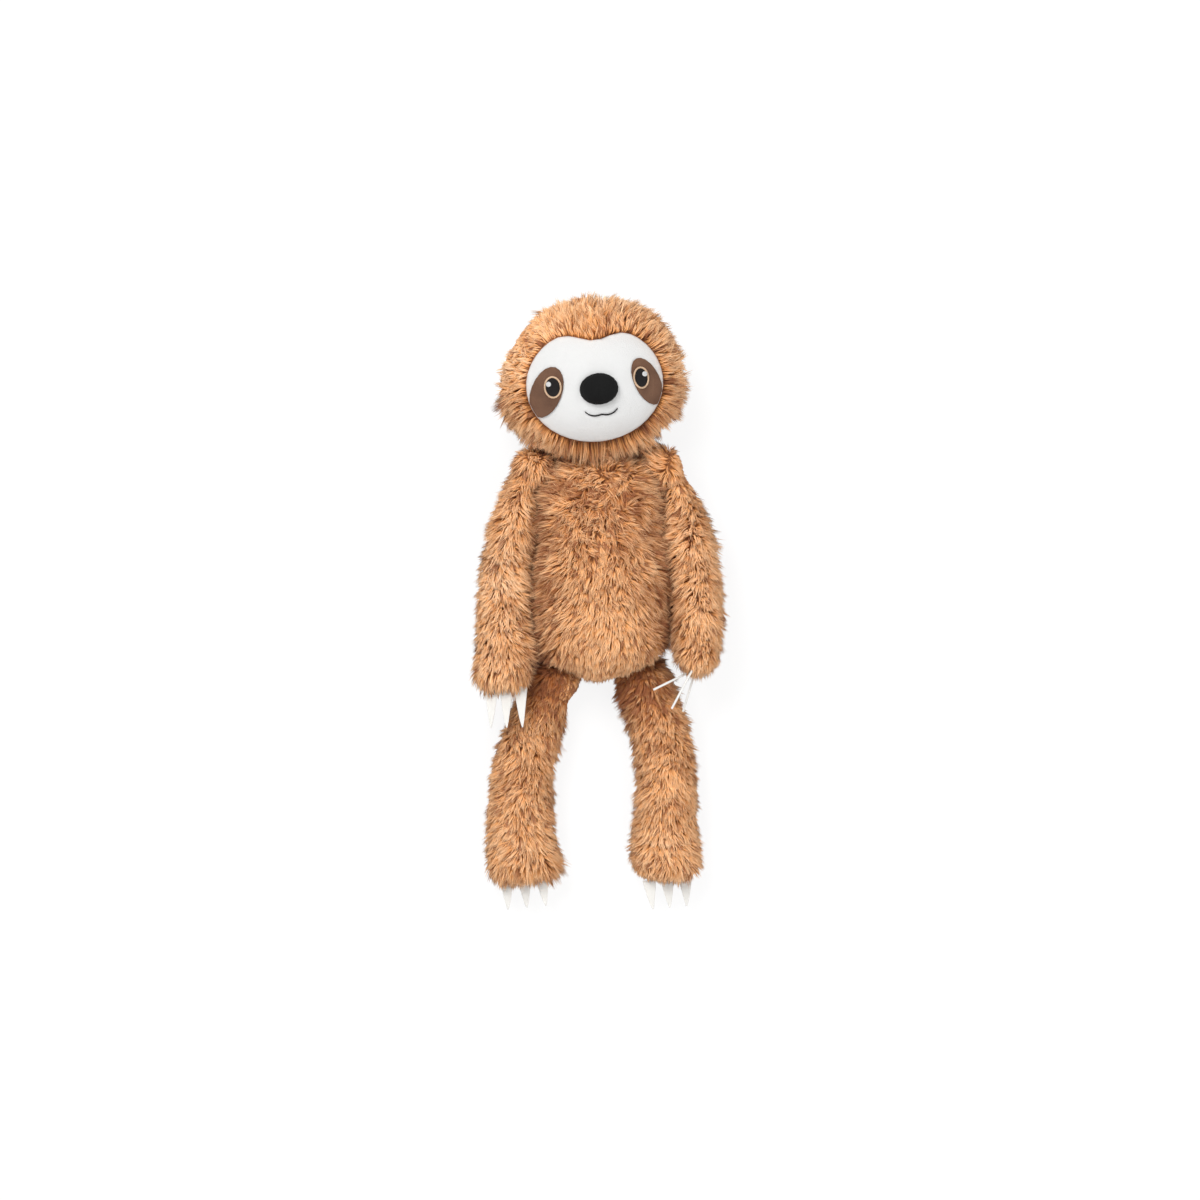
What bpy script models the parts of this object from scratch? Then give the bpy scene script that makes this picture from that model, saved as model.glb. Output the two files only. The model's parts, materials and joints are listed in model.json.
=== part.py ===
"""A long-limbed plush sloth lying on its back, as separate sewn pieces.

X runs to the viewer's right, Y from the feet to the head, and Z up, out of the belly and the face. The toy's own
left side is at +X. All sizes are in metres.
"""

import math
from dataclasses import dataclass

import bmesh
import bpy
from mathutils import Matrix, Vector

# Clearances and cloth
gap = 0.0003
stuffing_gap = 0.0008
overrun = 0.02
rest_flat_depth = 0.0005
body_wall = 0.009
limb_wall = 0.007
root_wall = 0.005
seam_thread_radius = 0.0012
seam_turn_sides = 24
seam_section_sides = 6

# Torso
torso_length = 0.204
torso_half_width = 0.062
torso_half_depth = 0.046
torso_shoulder_round = 0.012
torso_shoulder_flat_share = 0.5
torso_tip_round = 0.008
torso_centre_x = 0.0015
torso_top_y = 0.129
# Along from the shoulders, half width, half depth
torso_shares = (
    (0.00, 0.71, 0.70),
    (0.10, 0.79, 0.77),
    (0.18, 0.85, 0.83),
    (0.27, 0.90, 0.89),
    (0.36, 0.95, 0.94),
    (0.50, 0.99, 0.99),
    (0.66, 1.00, 1.00),
    (0.77, 0.99, 0.99),
    (0.83, 0.96, 0.96),
    (0.87, 0.88, 0.91),
    (0.91, 0.68, 0.81),
    (0.95, 0.42, 0.66),
    (1.00, 0.12, 0.44),
)

# Neck
neck_ball_radius = 0.026
neck_offset_x = -0.0035
neck_above_torso = 0.009
neck_hole_radius = 0.011
neck_seam_rise = 0.006

# Head
head_half_width = 0.083
head_half_height = 0.072
head_half_depth = 0.057
head_offset_x = -0.006
head_overlap_y = 0.005
head_lean = math.radians(6.3)
head_squareness_share = 0.1

# Face
face_half_width = 0.0629
face_half_height = 0.0528
face_low_share = 0.33
face_depth_in_pile = 0.004
face_cloth_thickness = 0.0047
nose_from_head_centre_x = 0.0057
nose_from_head_centre_y = -0.0129
face_offset_x = -0.0034
face_offset_y = 0.0053
face_notch_depth = 0.0134
face_notch_turn = math.radians(20.1)
face_notch_at = math.radians(86.7)
felt_thickness = 0.0015
felt_edge_inset = 0.0004
embroidery_thickness = 0.0008

# Pieces on the face: shares of its half width across and of its half height upwards
patch_width_shares = {"right": 0.227, "left": 0.191}
patch_height_shares = {"right": 0.460, "left": 0.437}
patch_x_shares = {"right": 0.766, "left": 0.709}
patch_y_share = 0.043
patch_turns = {"right": math.radians(26.8), "left": math.radians(19.2)}
eye_x_shares = {"right": 0.665, "left": 0.628}
eye_y_share = 0.115
eye_ring_width_shares = {"right": 0.130, "left": 0.117}
eye_ring_height_share = 0.194
eye_ring_thread_share = 0.0245
catchlight_radius_share = 0.038
catchlight_x_share = 0.058
catchlight_y_share = 0.059
nose_width_share = 0.286
nose_height_share = 0.278
nose_rise_share = 0.199
mouth_width_share = 0.239
mouth_y_share = -0.445
mouth_corner_share = 0.076
mouth_cusp_share = 0.0225
mouth_cusp_width_share = 0.2
mouth_sag_share = 0.25
mouth_line_share = 0.0226

# Arms
shoulder_ball_radius = 0.019
shoulder_inset = 0.002
shoulder_below_top = 0.008
shoulder_drop = 0.0005
shoulder_seam_turn = math.radians(40)
shoulder_hole_radius = 0.007
arm_start_behind = 0.006
arm_start_round = 0.012
arm_press_in = 0.002
right_arm_length = 0.200
left_arm_length = 0.185
arm_half_width = 0.026
arm_half_depth = 0.026
arm_sway = 0.030
arm_lift = 0.016
paw_round = 0.014
paw_flat_share = 0.72
# Along from the shoulder, sway outwards, lift, half width, half depth
right_arm_shares = (
    (0.00, 0.00, 0.00, 0.66, 0.68),
    (0.15, 0.42, 0.05, 0.73, 0.76),
    (0.33, 0.75, 0.15, 0.78, 0.80),
    (0.48, 0.90, 0.35, 0.87, 0.83),
    (0.70, 0.97, 0.70, 0.92, 0.83),
    (0.87, 0.97, 0.95, 1.00, 0.79),
    (1.00, 0.95, 1.00, 0.97, 0.71),
)
left_arm_shares = (
    (0.00, 0.00, 0.00, 0.66, 0.68),
    (0.15, 0.35, 0.05, 0.73, 0.76),
    (0.27, 0.58, 0.12, 0.76, 0.80),
    (0.50, 0.88, 0.45, 0.80, 0.86),
    (0.73, 1.00, 0.80, 0.84, 0.94),
    (0.90, 0.98, 1.00, 0.79, 1.00),
    (1.00, 0.97, 1.00, 0.72, 0.96),
)

# Legs
hip_ball_radius = 0.024
hip_inset = 0.022
hip_above_tip = 0.001
hip_above_leg_middle = 0.0005
hip_seam_turn = math.radians(25)
hip_hole_radius = 0.007
leg_start_behind = 0.006
leg_start_round = 0.014
leg_length = 0.182
leg_half_width = 0.033
leg_half_depth = 0.027
leg_sway = 0.033
# Along from the hip, sway outwards, half width, half depth
right_leg_shares = (
    (0.00, 0.00, 0.66, 0.80),
    (0.10, 0.35, 0.74, 0.81),
    (0.28, 0.69, 0.80, 0.81),
    (0.45, 0.94, 0.84, 0.92),
    (0.60, 1.00, 0.88, 1.00),
    (0.78, 1.00, 0.92, 1.00),
    (0.92, 0.94, 1.00, 1.00),
    (1.00, 0.90, 0.92, 0.96),
)
left_leg_shares = (
    (0.00, 0.00, 0.66, 0.80),
    (0.10, 0.22, 0.72, 0.81),
    (0.28, 0.47, 0.78, 0.81),
    (0.45, 0.66, 0.80, 0.92),
    (0.60, 0.66, 0.83, 1.00),
    (0.78, 0.64, 0.89, 1.00),
    (0.92, 0.62, 0.94, 1.00),
    (1.00, 0.66, 0.86, 0.96),
)

# Claws
claw_thickness = 0.002
claw_base_width = 0.0125
hand_claw_length = 0.039
foot_claw_length = 0.026
claw_tip_width = 0.0012
claw_taper_share = 0.8
claw_tip_bend = 0.001
foot_claw_spacing = 0.0165
hand_claw_spacing = 0.0135
edge_claw_spacing = 0.0130
hand_claw_shift = 0.0022
edge_claw_shift = 0.0052
lower_claw_shift = 0.0015
hand_claw_rise = math.radians(20)
# How far each claw of the hand on its edge points past the hand's own direction
upper_claw_turn = math.radians(27)
middle_claw_turn = math.radians(63)
lower_claw_turn = math.radians(16)
claw_steps = 6
claw_root_steps = 3

# Mesh fineness
head_sides = 24
torso_sides = 20
limb_sides = 14
ball_sides = 16
pocket_sides = 20
torso_steps = 13
limb_steps = 8
cap_steps = 3
head_cap_steps = 6
face_outline_points = 40
small_outline_points = 20
mouth_steps = 10
nose_sides = 20
sharp_turn = math.radians(40)

# Each cloth's colour, roughness and sheen
cloth_shares = {
    "fur": ((0.60, 0.30, 0.12), 0.95, 0.4),
    "face_fabric": ((0.90, 0.90, 0.88), 0.9, 0.2),
    "patch_felt": ((0.17, 0.10, 0.06), 0.95, 0.3),
    "ring_thread": ((0.62, 0.42, 0.26), 0.6, 0.1),
    "black_embroidery": ((0.012, 0.012, 0.014), 0.5, 0.1),
    "white_embroidery": ((0.90, 0.90, 0.90), 0.5, 0.1),
    "nose_velour": ((0.014, 0.013, 0.015), 0.85, 0.3),
    "claw_felt": ((0.86, 0.83, 0.76), 0.95, 0.3),
    "stuffing": ((0.92, 0.92, 0.92), 1.0, 0.2),
    "thread": ((0.35, 0.17, 0.07), 0.6, 0.1),
}


@dataclass(frozen=True)
class Station:
    """One ring of a soft form: its centre, its sideways direction and its two half sizes."""

    centre: Vector
    side: Vector
    half_width: float
    half_depth: float


@dataclass(frozen=True)
class Cap:
    """How one end of a soft form closes: the length of the rounding and the share left flat."""

    length: float
    flat_share: float = 0.0


@dataclass(frozen=True)
class SoftForm:
    """A stuffed form that swells and tapers along a spine."""

    points: tuple
    half_widths: tuple
    half_depths: tuple
    start: Cap
    end: Cap
    sides: int
    steps: int = limb_steps
    cap_rings: int = cap_steps
    squareness_share: float = 0.0

    def length(self) -> float:
        """The spine's length through its points."""
        return sum((b - a).length for a, b in zip(self.points, self.points[1:]))

    def knots(self) -> list:
        """The distance of each spine point from the first."""
        run = [0.0]
        for a, b in zip(self.points, self.points[1:]):
            run.append(run[-1] + (b - a).length)
        return run

    def read(self, distance: float) -> tuple:
        """The centre and the two half sizes at a distance along the spine."""
        knots = self.knots()
        centre = Vector([smooth(knots, [p[i] for p in self.points], distance) for i in range(3)])
        width = smooth(knots, self.half_widths, distance)
        depth = smooth(knots, self.half_depths, distance)
        return centre, width, depth

    def distances(self, inset: float) -> list:
        """Where the rings lie along the spine, and the share of the full size each one keeps."""
        total = self.length()
        start, end = inset, total - inset
        start_cap = max(self.start.length - inset, gap)
        end_cap = max(self.end.length - inset, gap)
        rings = []
        for i in range(self.cap_rings):
            turn = math.pi / 2 * i / self.cap_rings
            rings.append((start + start_cap * (1 - math.cos(turn)), self.keep(turn, self.start)))
        for i in range(self.steps + 1):
            share = i / max(self.steps, 1)
            rings.append((start + start_cap + (end - end_cap - start - start_cap) * share, 1.0))
        for i in range(self.cap_rings - 1, -1, -1):
            turn = math.pi / 2 * i / self.cap_rings
            rings.append((end - end_cap * (1 - math.cos(turn)), self.keep(turn, self.end)))
        return rings

    def keep(self, turn: float, cap: Cap) -> float:
        """The share of the full size at an angle round a cap, from its tip to its full size."""
        power = 2 * (1 + self.squareness_share)
        rounded = (1 - math.cos(turn) ** power) ** (1 / power)
        return cap.flat_share + (1 - cap.flat_share) * rounded

    def stations(self, inset: float) -> list:
        """The rings of the form, moved inwards by a depth."""
        found = []
        for distance, share in self.distances(inset):
            centre, width, depth = self.read(distance)
            ahead = self.read(distance + gap)[0]
            behind = self.read(distance - gap)[0]
            run = ahead - behind
            side = Vector((run.y, -run.x, 0)).normalized()
            found.append(Station(centre, side, (width - inset) * share, (depth - inset) * share))
        return found

    def mesh(self, inset: float = 0.0) -> bmesh.types.BMesh:
        """The closed surface of the form, moved inwards by a depth."""
        return loft(self.stations(inset), self.sides)


def smooth(knots: list, values: list, at: float) -> float:
    """A cubic curve through the values, straight on past both ends."""
    count = len(knots)
    slopes = []
    for i in range(count):
        low, high = max(i - 1, 0), min(i + 1, count - 1)
        slopes.append((values[high] - values[low]) / (knots[high] - knots[low]))
    if at <= knots[0]:
        return values[0] + slopes[0] * (at - knots[0])
    if at >= knots[-1]:
        return values[-1] + slopes[-1] * (at - knots[-1])
    i = max(k for k in range(count - 1) if knots[k] <= at)
    span = knots[i + 1] - knots[i]
    t = (at - knots[i]) / span
    start = values[i] * (2 * t**3 - 3 * t**2 + 1) + slopes[i] * span * (t**3 - 2 * t**2 + t)
    end = values[i + 1] * (3 * t**2 - 2 * t**3) + slopes[i + 1] * span * (t**3 - t**2)
    return start + end


def loft(stations: list, sides: int) -> bmesh.types.BMesh:
    """A closed skin over elliptical rings, with a point or a flat at each end."""
    bm = bmesh.new()
    up = Vector((0, 0, 1))
    rings = []
    for station in stations:
        if station.half_width < gap:
            rings.append([bm.verts.new(station.centre)])
            continue
        ring = []
        for i in range(sides):
            angle = 2 * math.pi * i / sides
            across = station.side * (station.half_width * math.cos(angle))
            ring.append(bm.verts.new(station.centre + across + up * (station.half_depth * math.sin(angle))))
        rings.append(ring)
    for a, b in zip(rings, rings[1:]):
        for i in range(sides):
            j = (i + 1) % sides
            corners = [a[i % len(a)], a[j % len(a)], b[j % len(b)], b[i % len(b)]]
            bm.faces.new(list(dict.fromkeys(corners)))
    for ring in (rings[0], rings[-1]):
        if len(ring) > 1:
            bm.faces.new(ring)
    bmesh.ops.recalc_face_normals(bm, faces=bm.faces)
    return bm


def ball(centre: Vector, radius: float, sides: int = ball_sides) -> bmesh.types.BMesh:
    """A round ball with its poles along Y."""
    bm = bmesh.new()
    turned = Matrix.Translation(centre) @ Matrix.Rotation(math.pi / 2, 4, "X")
    bmesh.ops.create_uvsphere(bm, u_segments=sides, v_segments=sides // 2, radius=radius, matrix=turned)
    return bm


def pocket(centre: Vector, ball_radius: float) -> bmesh.types.BMesh:
    """Room round a ball for its seam thread, with flat facets that stay clear of the thread."""
    room = ball_radius + 2 * (seam_thread_radius + gap)
    return ball(centre, room / math.cos(math.pi / pocket_sides) ** 2, pocket_sides)


def block(low: Vector, high: Vector) -> bmesh.types.BMesh:
    """A box between two corners."""
    bm = bmesh.new()
    size = high - low
    placed = Matrix.Translation((low + high) / 2) @ Matrix.Diagonal((*size, 1))
    bmesh.ops.create_cube(bm, size=1, matrix=placed)
    return bm


def rod(start: Vector, run: Vector, radius: float, sides: int) -> bmesh.types.BMesh:
    """A round rod from a point along a run."""
    bm = bmesh.new()
    turned = Matrix.Translation(start + run / 2) @ run.to_track_quat("Z", "Y").to_matrix().to_4x4()
    bmesh.ops.create_cone(
        bm, cap_ends=True, segments=sides, radius1=radius, radius2=radius, depth=run.length, matrix=turned
    )
    return bm


def prism(outline: list, place: Matrix, low: float, high: float) -> bmesh.types.BMesh:
    """An upright solid over an outline, which runs anticlockwise in the plane of the face."""
    bm = bmesh.new()
    floor = [bm.verts.new(place @ Vector((x, y, low))) for x, y in outline]
    bm.faces.new(floor)
    top = [bm.verts.new(place @ Vector((x, y, high))) for x, y in outline]
    bm.faces.new(top)
    count = len(outline)
    for i in range(count):
        j = (i + 1) % count
        bm.faces.new((floor[i], floor[j], top[j], top[i]))
    bmesh.ops.recalc_face_normals(bm, faces=bm.faces)
    return bm


def to_object(name: str, bm: bmesh.types.BMesh) -> bpy.types.Object:
    """A new object in the scene from a bmesh."""
    mesh = bpy.data.meshes.new(name)
    bm.to_mesh(mesh)
    bm.free()
    made = bpy.data.objects.new(name, mesh)
    bpy.context.scene.collection.objects.link(made)
    return made


def combine(body: bpy.types.Object, tool_mesh: bmesh.types.BMesh, operation: str) -> bpy.types.Object:
    """Cut, join or intersect a body with a tool, and remove the tool."""
    tool = to_object("tool", tool_mesh)
    modifier = body.modifiers.new(operation.title(), "BOOLEAN")
    modifier.operation = operation
    modifier.solver = "EXACT"
    modifier.object = tool
    bpy.context.view_layer.update()
    graph = bpy.context.evaluated_depsgraph_get()
    result = bpy.data.meshes.new_from_object(body.evaluated_get(graph))
    body.modifiers.clear()
    old = body.data
    body.data = result
    bpy.data.meshes.remove(old)
    bpy.data.objects.remove(tool)
    return body


def cut(body: bpy.types.Object, *tools: bmesh.types.BMesh) -> bpy.types.Object:
    """Take each tool out of the body."""
    for tool in tools:
        combine(body, tool, "DIFFERENCE")
    return body


def shrink(made: bpy.types.Object, depth: float) -> bpy.types.Object:
    """Move the whole surface of a solid inwards."""
    bm = bmesh.new()
    bm.from_mesh(made.data)
    bm.normal_update()
    moves = [(vertex, vertex.normal * depth) for vertex in bm.verts]
    for vertex, move in moves:
        vertex.co -= move
    bm.to_mesh(made.data)
    bm.free()
    return made


def cloth(name: str) -> bpy.types.Material:
    """A matte fabric material."""
    colour, roughness, sheen = cloth_shares[name]
    material = bpy.data.materials.new(name)
    material.use_nodes = True
    material.diffuse_color = (*colour, 1.0)
    shader = material.node_tree.nodes["Principled BSDF"]
    shader.inputs["Base Color"].default_value = (*colour, 1.0)
    shader.inputs["Roughness"].default_value = roughness
    shader.inputs["Metallic"].default_value = 0.0
    shader.inputs["Sheen Weight"].default_value = sheen
    return material


def finish(
    made: bpy.types.Object, name: str, origin: Vector, material: bpy.types.Material
) -> bpy.types.Object:
    """Name a piece, put its origin on its joint, colour it and smooth its round faces."""
    made.name = name
    made.data.name = name
    made.data.transform(Matrix.Translation(-origin))
    made.location = origin
    made.data.materials.clear()
    made.data.materials.append(material)
    made.data.shade_smooth()
    made.data.set_sharp_from_angle(angle=sharp_turn)
    return made


def floor_cut() -> bmesh.types.BMesh:
    """The room under the surface that the toy lies on."""
    reach = torso_length + leg_length + head_half_height * 2 + overrun
    return block(Vector((-reach, -reach, -overrun)), Vector((reach, reach, 0)))


def torso_form() -> SoftForm:
    """The body, from the shoulders to the point between the legs."""
    centre_z = torso_half_depth - rest_flat_depth
    points = [Vector((torso_centre_x, torso_top_y - torso_length * a, centre_z)) for a, _, _ in torso_shares]
    return SoftForm(
        points=tuple(points),
        half_widths=tuple(torso_half_width * w for _, w, _ in torso_shares),
        half_depths=tuple(torso_half_depth * d for _, _, d in torso_shares),
        start=Cap(torso_shoulder_round, torso_shoulder_flat_share),
        end=Cap(torso_tip_round),
        sides=torso_sides,
        steps=torso_steps,
    )


def head_form() -> SoftForm:
    """The head, round all over and leaning to the toy's right."""
    centre = head_centre()
    along = head_up() * head_half_height
    return SoftForm(
        points=(centre + along, centre, centre - along),
        half_widths=(head_half_width,) * 3,
        half_depths=(head_half_depth,) * 3,
        start=Cap(head_half_height),
        end=Cap(head_half_height),
        sides=head_sides,
        steps=0,
        cap_rings=head_cap_steps,
        squareness_share=head_squareness_share,
    )


def head_centre() -> Vector:
    """The middle of the head."""
    neck = neck_centre()
    rise = head_half_height - head_overlap_y
    return Vector((neck.x + head_offset_x, neck.y + rise, head_half_depth - rest_flat_depth))


def head_up() -> Vector:
    """The direction from the chin to the crown."""
    return Vector((-math.sin(head_lean), math.cos(head_lean), 0))


def neck_centre() -> Vector:
    """The point that the head turns and nods about."""
    return Vector((torso_centre_x + neck_offset_x, torso_top_y + neck_above_torso, torso_half_depth))


def face_place() -> Matrix:
    """The plane of the face, upright through the nose, at the depth of the head's middle."""
    leaned = Matrix.Rotation(head_lean, 4, "Z")
    to_nose = leaned @ Vector((nose_from_head_centre_x, nose_from_head_centre_y, 0))
    return Matrix.Translation(head_centre() + to_nose) @ leaned


def ellipse(half_width: float, half_height: float, centre: tuple = (0, 0), turn: float = 0.0) -> list:
    """The points of an ellipse, anticlockwise."""
    points = []
    for i in range(small_outline_points):
        angle = 2 * math.pi * i / small_outline_points
        x, y = half_width * math.cos(angle), half_height * math.sin(angle)
        points.append(
            (
                centre[0] + x * math.cos(turn) - y * math.sin(turn),
                centre[1] + x * math.sin(turn) + y * math.cos(turn),
            )
        )
    return points


def face_outline(grow: float = 0.0) -> list:
    """The face's edge: an ellipse with a notch at the top, where the fur comes to a peak."""
    points = []
    for i in range(face_outline_points):
        angle = 2 * math.pi * i / face_outline_points
        off_top = math.remainder(angle - face_notch_at, 2 * math.pi) / face_notch_turn
        notch = face_notch_depth * math.exp(-off_top * off_top)
        x = (face_half_width + grow) * math.cos(angle)
        y = (face_half_height + grow - notch) * math.sin(angle)
        points.append((face_offset_x + x, face_offset_y + y))
    return points


def on_face(name: str, outline: list, front: float, back: float) -> bpy.types.Object:
    """A piece that follows the face between two depths below the head's outer surface."""
    made = to_object(name, head_form().mesh(front))
    tool = prism(outline, face_place(), head_half_depth * face_low_share, head_half_depth + overrun)
    combine(made, tool, "INTERSECT")
    return cut(made, head_form().mesh(back))


def limb_root(centre: Vector, toward: Vector, radius: float, turn: float) -> tuple:
    """The seam's centre and radius on a limb's round root, on the side that faces the body."""
    seat = radius + gap + seam_thread_radius
    return centre + toward * (seat * math.cos(turn)), seat * math.sin(turn)


def seam_thread(
    name: str, centre: Vector, axis: Vector, radius: float, origin: Vector, material: bpy.types.Material
) -> bpy.types.Object:
    """A ring of strong thread, drawn tight where a limb or the neck is sewn on."""
    bm = bmesh.new()
    turned = Matrix.Translation(centre) @ axis.to_track_quat("Z", "Y").to_matrix().to_4x4()
    rings = []
    for i in range(seam_turn_sides):
        angle = 2 * math.pi * i / seam_turn_sides
        ring = []
        for j in range(seam_section_sides):
            around = 2 * math.pi * j / seam_section_sides
            reach = radius + seam_thread_radius * math.cos(around)
            rise = seam_thread_radius * math.sin(around)
            local = Vector((reach * math.cos(angle), reach * math.sin(angle), rise))
            ring.append(bm.verts.new(turned @ local))
        rings.append(ring)
    for i, ring in enumerate(rings):
        after = rings[(i + 1) % seam_turn_sides]
        for j in range(seam_section_sides):
            k = (j + 1) % seam_section_sides
            bm.faces.new((ring[j], after[j], after[k], ring[k]))
    bmesh.ops.recalc_face_normals(bm, faces=bm.faces)
    return finish(to_object(name, bm), name, origin, material)


@dataclass(frozen=True)
class Limb:
    """One arm or leg: its soft form, its round root and where it is sewn on."""

    name: str
    form: SoftForm
    joint: Vector
    toward_body: Vector
    ball_radius: float
    hole_radius: float
    seam_turn: float
    inner_flat_x: float

    def solid(self, name: str, inset: float, root_inset: float) -> bpy.types.Object:
        """The limb's form with its round root, moved inwards."""
        made = to_object(name, self.form.mesh(inset))
        if self.inner_flat_x:
            side = math.copysign(1, self.joint.x)
            edge = side * (self.inner_flat_x + inset)
            far = -side * overrun
            low, high = sorted((edge, far))
            span = self.form.length() + overrun
            far_corner = Vector((high, self.joint.y + overrun, self.joint.z + span))
            tool = block(Vector((low, self.joint.y - span, -overrun)), far_corner)
            cut(made, tool)
        return combine(made, ball(self.joint, self.ball_radius - root_inset), "UNION")

    def paw_centre(self) -> Vector:
        """The middle of the flat paw end."""
        return self.form.stations(0)[-1].centre

    def paw_run(self) -> Vector:
        """The direction that the paw points in."""
        side = self.form.stations(0)[-1].side
        return Vector((-side.y, side.x, 0)).normalized()


def arm_limb(name: str, side: int, shares: tuple, length: float) -> Limb:
    """An arm, from the shoulder to the hand."""
    centre_z = torso_half_depth - rest_flat_depth
    across = torso_half_width - shoulder_inset
    joint = Vector((side * across, torso_top_y - shoulder_below_top, centre_z - shoulder_drop))
    points = [
        joint + Vector((side * arm_sway * sway, -length * along, arm_lift * lift))
        for along, sway, lift, _, _ in shares
    ]
    first = (points[0] - points[1]).normalized() * arm_start_behind
    points[0] = points[0] + first
    form = SoftForm(
        points=tuple(points),
        half_widths=tuple(arm_half_width * w for *_, w, _ in shares),
        half_depths=tuple(arm_half_depth * d for *_, d in shares),
        start=Cap(arm_start_round),
        end=Cap(paw_round, paw_flat_share),
        sides=limb_sides,
    )
    return Limb(
        name,
        form,
        joint,
        Vector((-side, 0, 0)),
        shoulder_ball_radius,
        shoulder_hole_radius,
        shoulder_seam_turn,
        torso_half_width - arm_press_in,
    )


def leg_limb(name: str, side: int, shares: tuple) -> Limb:
    """A leg, from the hip to the foot, lying on the table."""
    centre_z = leg_half_depth - rest_flat_depth
    across = torso_half_width - hip_inset
    above_table = centre_z + hip_above_leg_middle
    joint = Vector((side * across, torso_top_y - torso_length + hip_above_tip, above_table))
    points = [
        Vector((joint.x + side * leg_sway * sway, joint.y - leg_length * along, centre_z))
        for along, sway, _, _ in shares
    ]
    first = (points[0] - points[1]).normalized() * leg_start_behind
    points[0] = points[0] + first
    form = SoftForm(
        points=tuple(points),
        half_widths=tuple(leg_half_width * w for *_, w, _ in shares),
        half_depths=tuple(leg_half_depth * d for *_, d in shares),
        start=Cap(leg_start_round),
        end=Cap(paw_round, paw_flat_share),
        sides=limb_sides,
    )
    return Limb(
        name, form, joint, Vector((0, 1, 0)), hip_ball_radius, hip_hole_radius, hip_seam_turn, 0.0
    )


def make_limb(limb: Limb, fur, stuffing, thread) -> list:
    """The fur cover, its stuffing and the thread that sews it to the body."""
    cover = limb.solid("cover", 0.0, 0.0)
    cut(cover, solid_mesh(limb.solid("room", limb_wall, root_wall)))
    mouth = rod(limb.joint, limb.toward_body * (limb.ball_radius + overrun), limb.hole_radius, limb_sides)
    cut(cover, mouth, floor_cut())
    fill = limb.solid("fill", limb_wall + stuffing_gap, root_wall + stuffing_gap)
    seam_at, seam_radius = limb_root(limb.joint, limb.toward_body, limb.ball_radius, limb.seam_turn)
    ring_name = f"{limb.name}_root_seam_thread"
    return [
        finish(cover, f"{limb.name}_cover", limb.joint, fur),
        finish(fill, f"{limb.name}_stuffing", limb.joint, stuffing),
        seam_thread(ring_name, seam_at, limb.toward_body, seam_radius, limb.joint, thread),
    ]


def solid_mesh(made: bpy.types.Object) -> bmesh.types.BMesh:
    """The mesh of an object as a tool, with the object removed."""
    bm = bmesh.new()
    bm.from_mesh(made.data)
    mesh = made.data
    bpy.data.objects.remove(made)
    bpy.data.meshes.remove(mesh)
    return bm


def make_torso(limbs: list, fur, stuffing) -> list:
    """The body's fur cover with its neck stub, and its stuffing."""
    form = torso_form()
    neck = neck_centre()

    def solid(name: str, inset: float, neck_inset: float) -> bpy.types.Object:
        made = to_object(name, form.mesh(inset))
        return combine(made, ball(neck, neck_ball_radius - neck_inset), "UNION")

    cover = solid("cover", 0.0, 0.0)
    cut(cover, solid_mesh(solid("room", body_wall, root_wall)))
    mouth = rod(neck, Vector((0, neck_ball_radius + overrun, 0)), neck_hole_radius, torso_sides)
    cut(cover, mouth, floor_cut(), *[pocket(limb.joint, limb.ball_radius) for limb in limbs])
    fill = shrink(solid("fill", body_wall, root_wall), stuffing_gap)
    cut(fill, *[pocket(limb.joint, limb.ball_radius + gap) for limb in limbs])
    origin = Vector((torso_centre_x, torso_top_y, 0))
    return [finish(cover, "torso_cover", origin, fur), finish(fill, "torso_stuffing", origin, stuffing)]


def make_head(fur, face_cloth, stuffing, thread) -> list:
    """The head's fur cover, the face panel sewn into it, the stuffing and the neck's thread."""
    form = head_form()
    neck = neck_centre()
    place = face_place()
    face_back = face_depth_in_pile + face_cloth_thickness

    cover = to_object("cover", form.mesh())
    cut(cover, form.mesh(body_wall))
    window = prism(face_outline(gap), place, head_half_depth * face_low_share, head_half_depth + overrun)
    cut(cover, window, pocket(neck, neck_ball_radius), floor_cut())

    panel = on_face("panel", face_outline(), face_depth_in_pile, face_back)
    fill = shrink(to_object("fill", form.mesh(body_wall)), stuffing_gap)
    cut(fill, pocket(neck, neck_ball_radius))

    seat = neck_ball_radius + gap + seam_thread_radius
    ring_radius = math.sqrt(seat**2 - neck_seam_rise**2)
    ring_at = neck + Vector((0, neck_seam_rise, 0))
    return [
        finish(cover, "head_cover", neck, fur),
        finish(panel, "face_panel", neck, face_cloth),
        finish(fill, "head_stuffing", neck, stuffing),
        seam_thread("neck_seam_thread", ring_at, Vector((0, 1, 0)), ring_radius, neck, thread),
    ]


def patch_outline(side_name: str, side: int) -> list:
    """An eye patch: a leaning ellipse, cut short where it meets the face's edge."""
    centre = (side * face_half_width * patch_x_shares[side_name], face_half_height * patch_y_share)
    half_width = face_half_width * patch_width_shares[side_name]
    half_height = face_half_height * patch_height_shares[side_name]
    turned = ellipse(half_width, half_height, centre, side * patch_turns[side_name])
    inner_width, inner_height = face_half_width - felt_edge_inset, face_half_height - felt_edge_inset
    kept = []
    for x, y in turned:
        from_middle_x, from_middle_y = x - face_offset_x, y - face_offset_y
        reach = max(math.hypot(from_middle_x / inner_width, from_middle_y / inner_height), 1)
        kept.append((face_offset_x + from_middle_x / reach, face_offset_y + from_middle_y / reach))
    return kept


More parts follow.
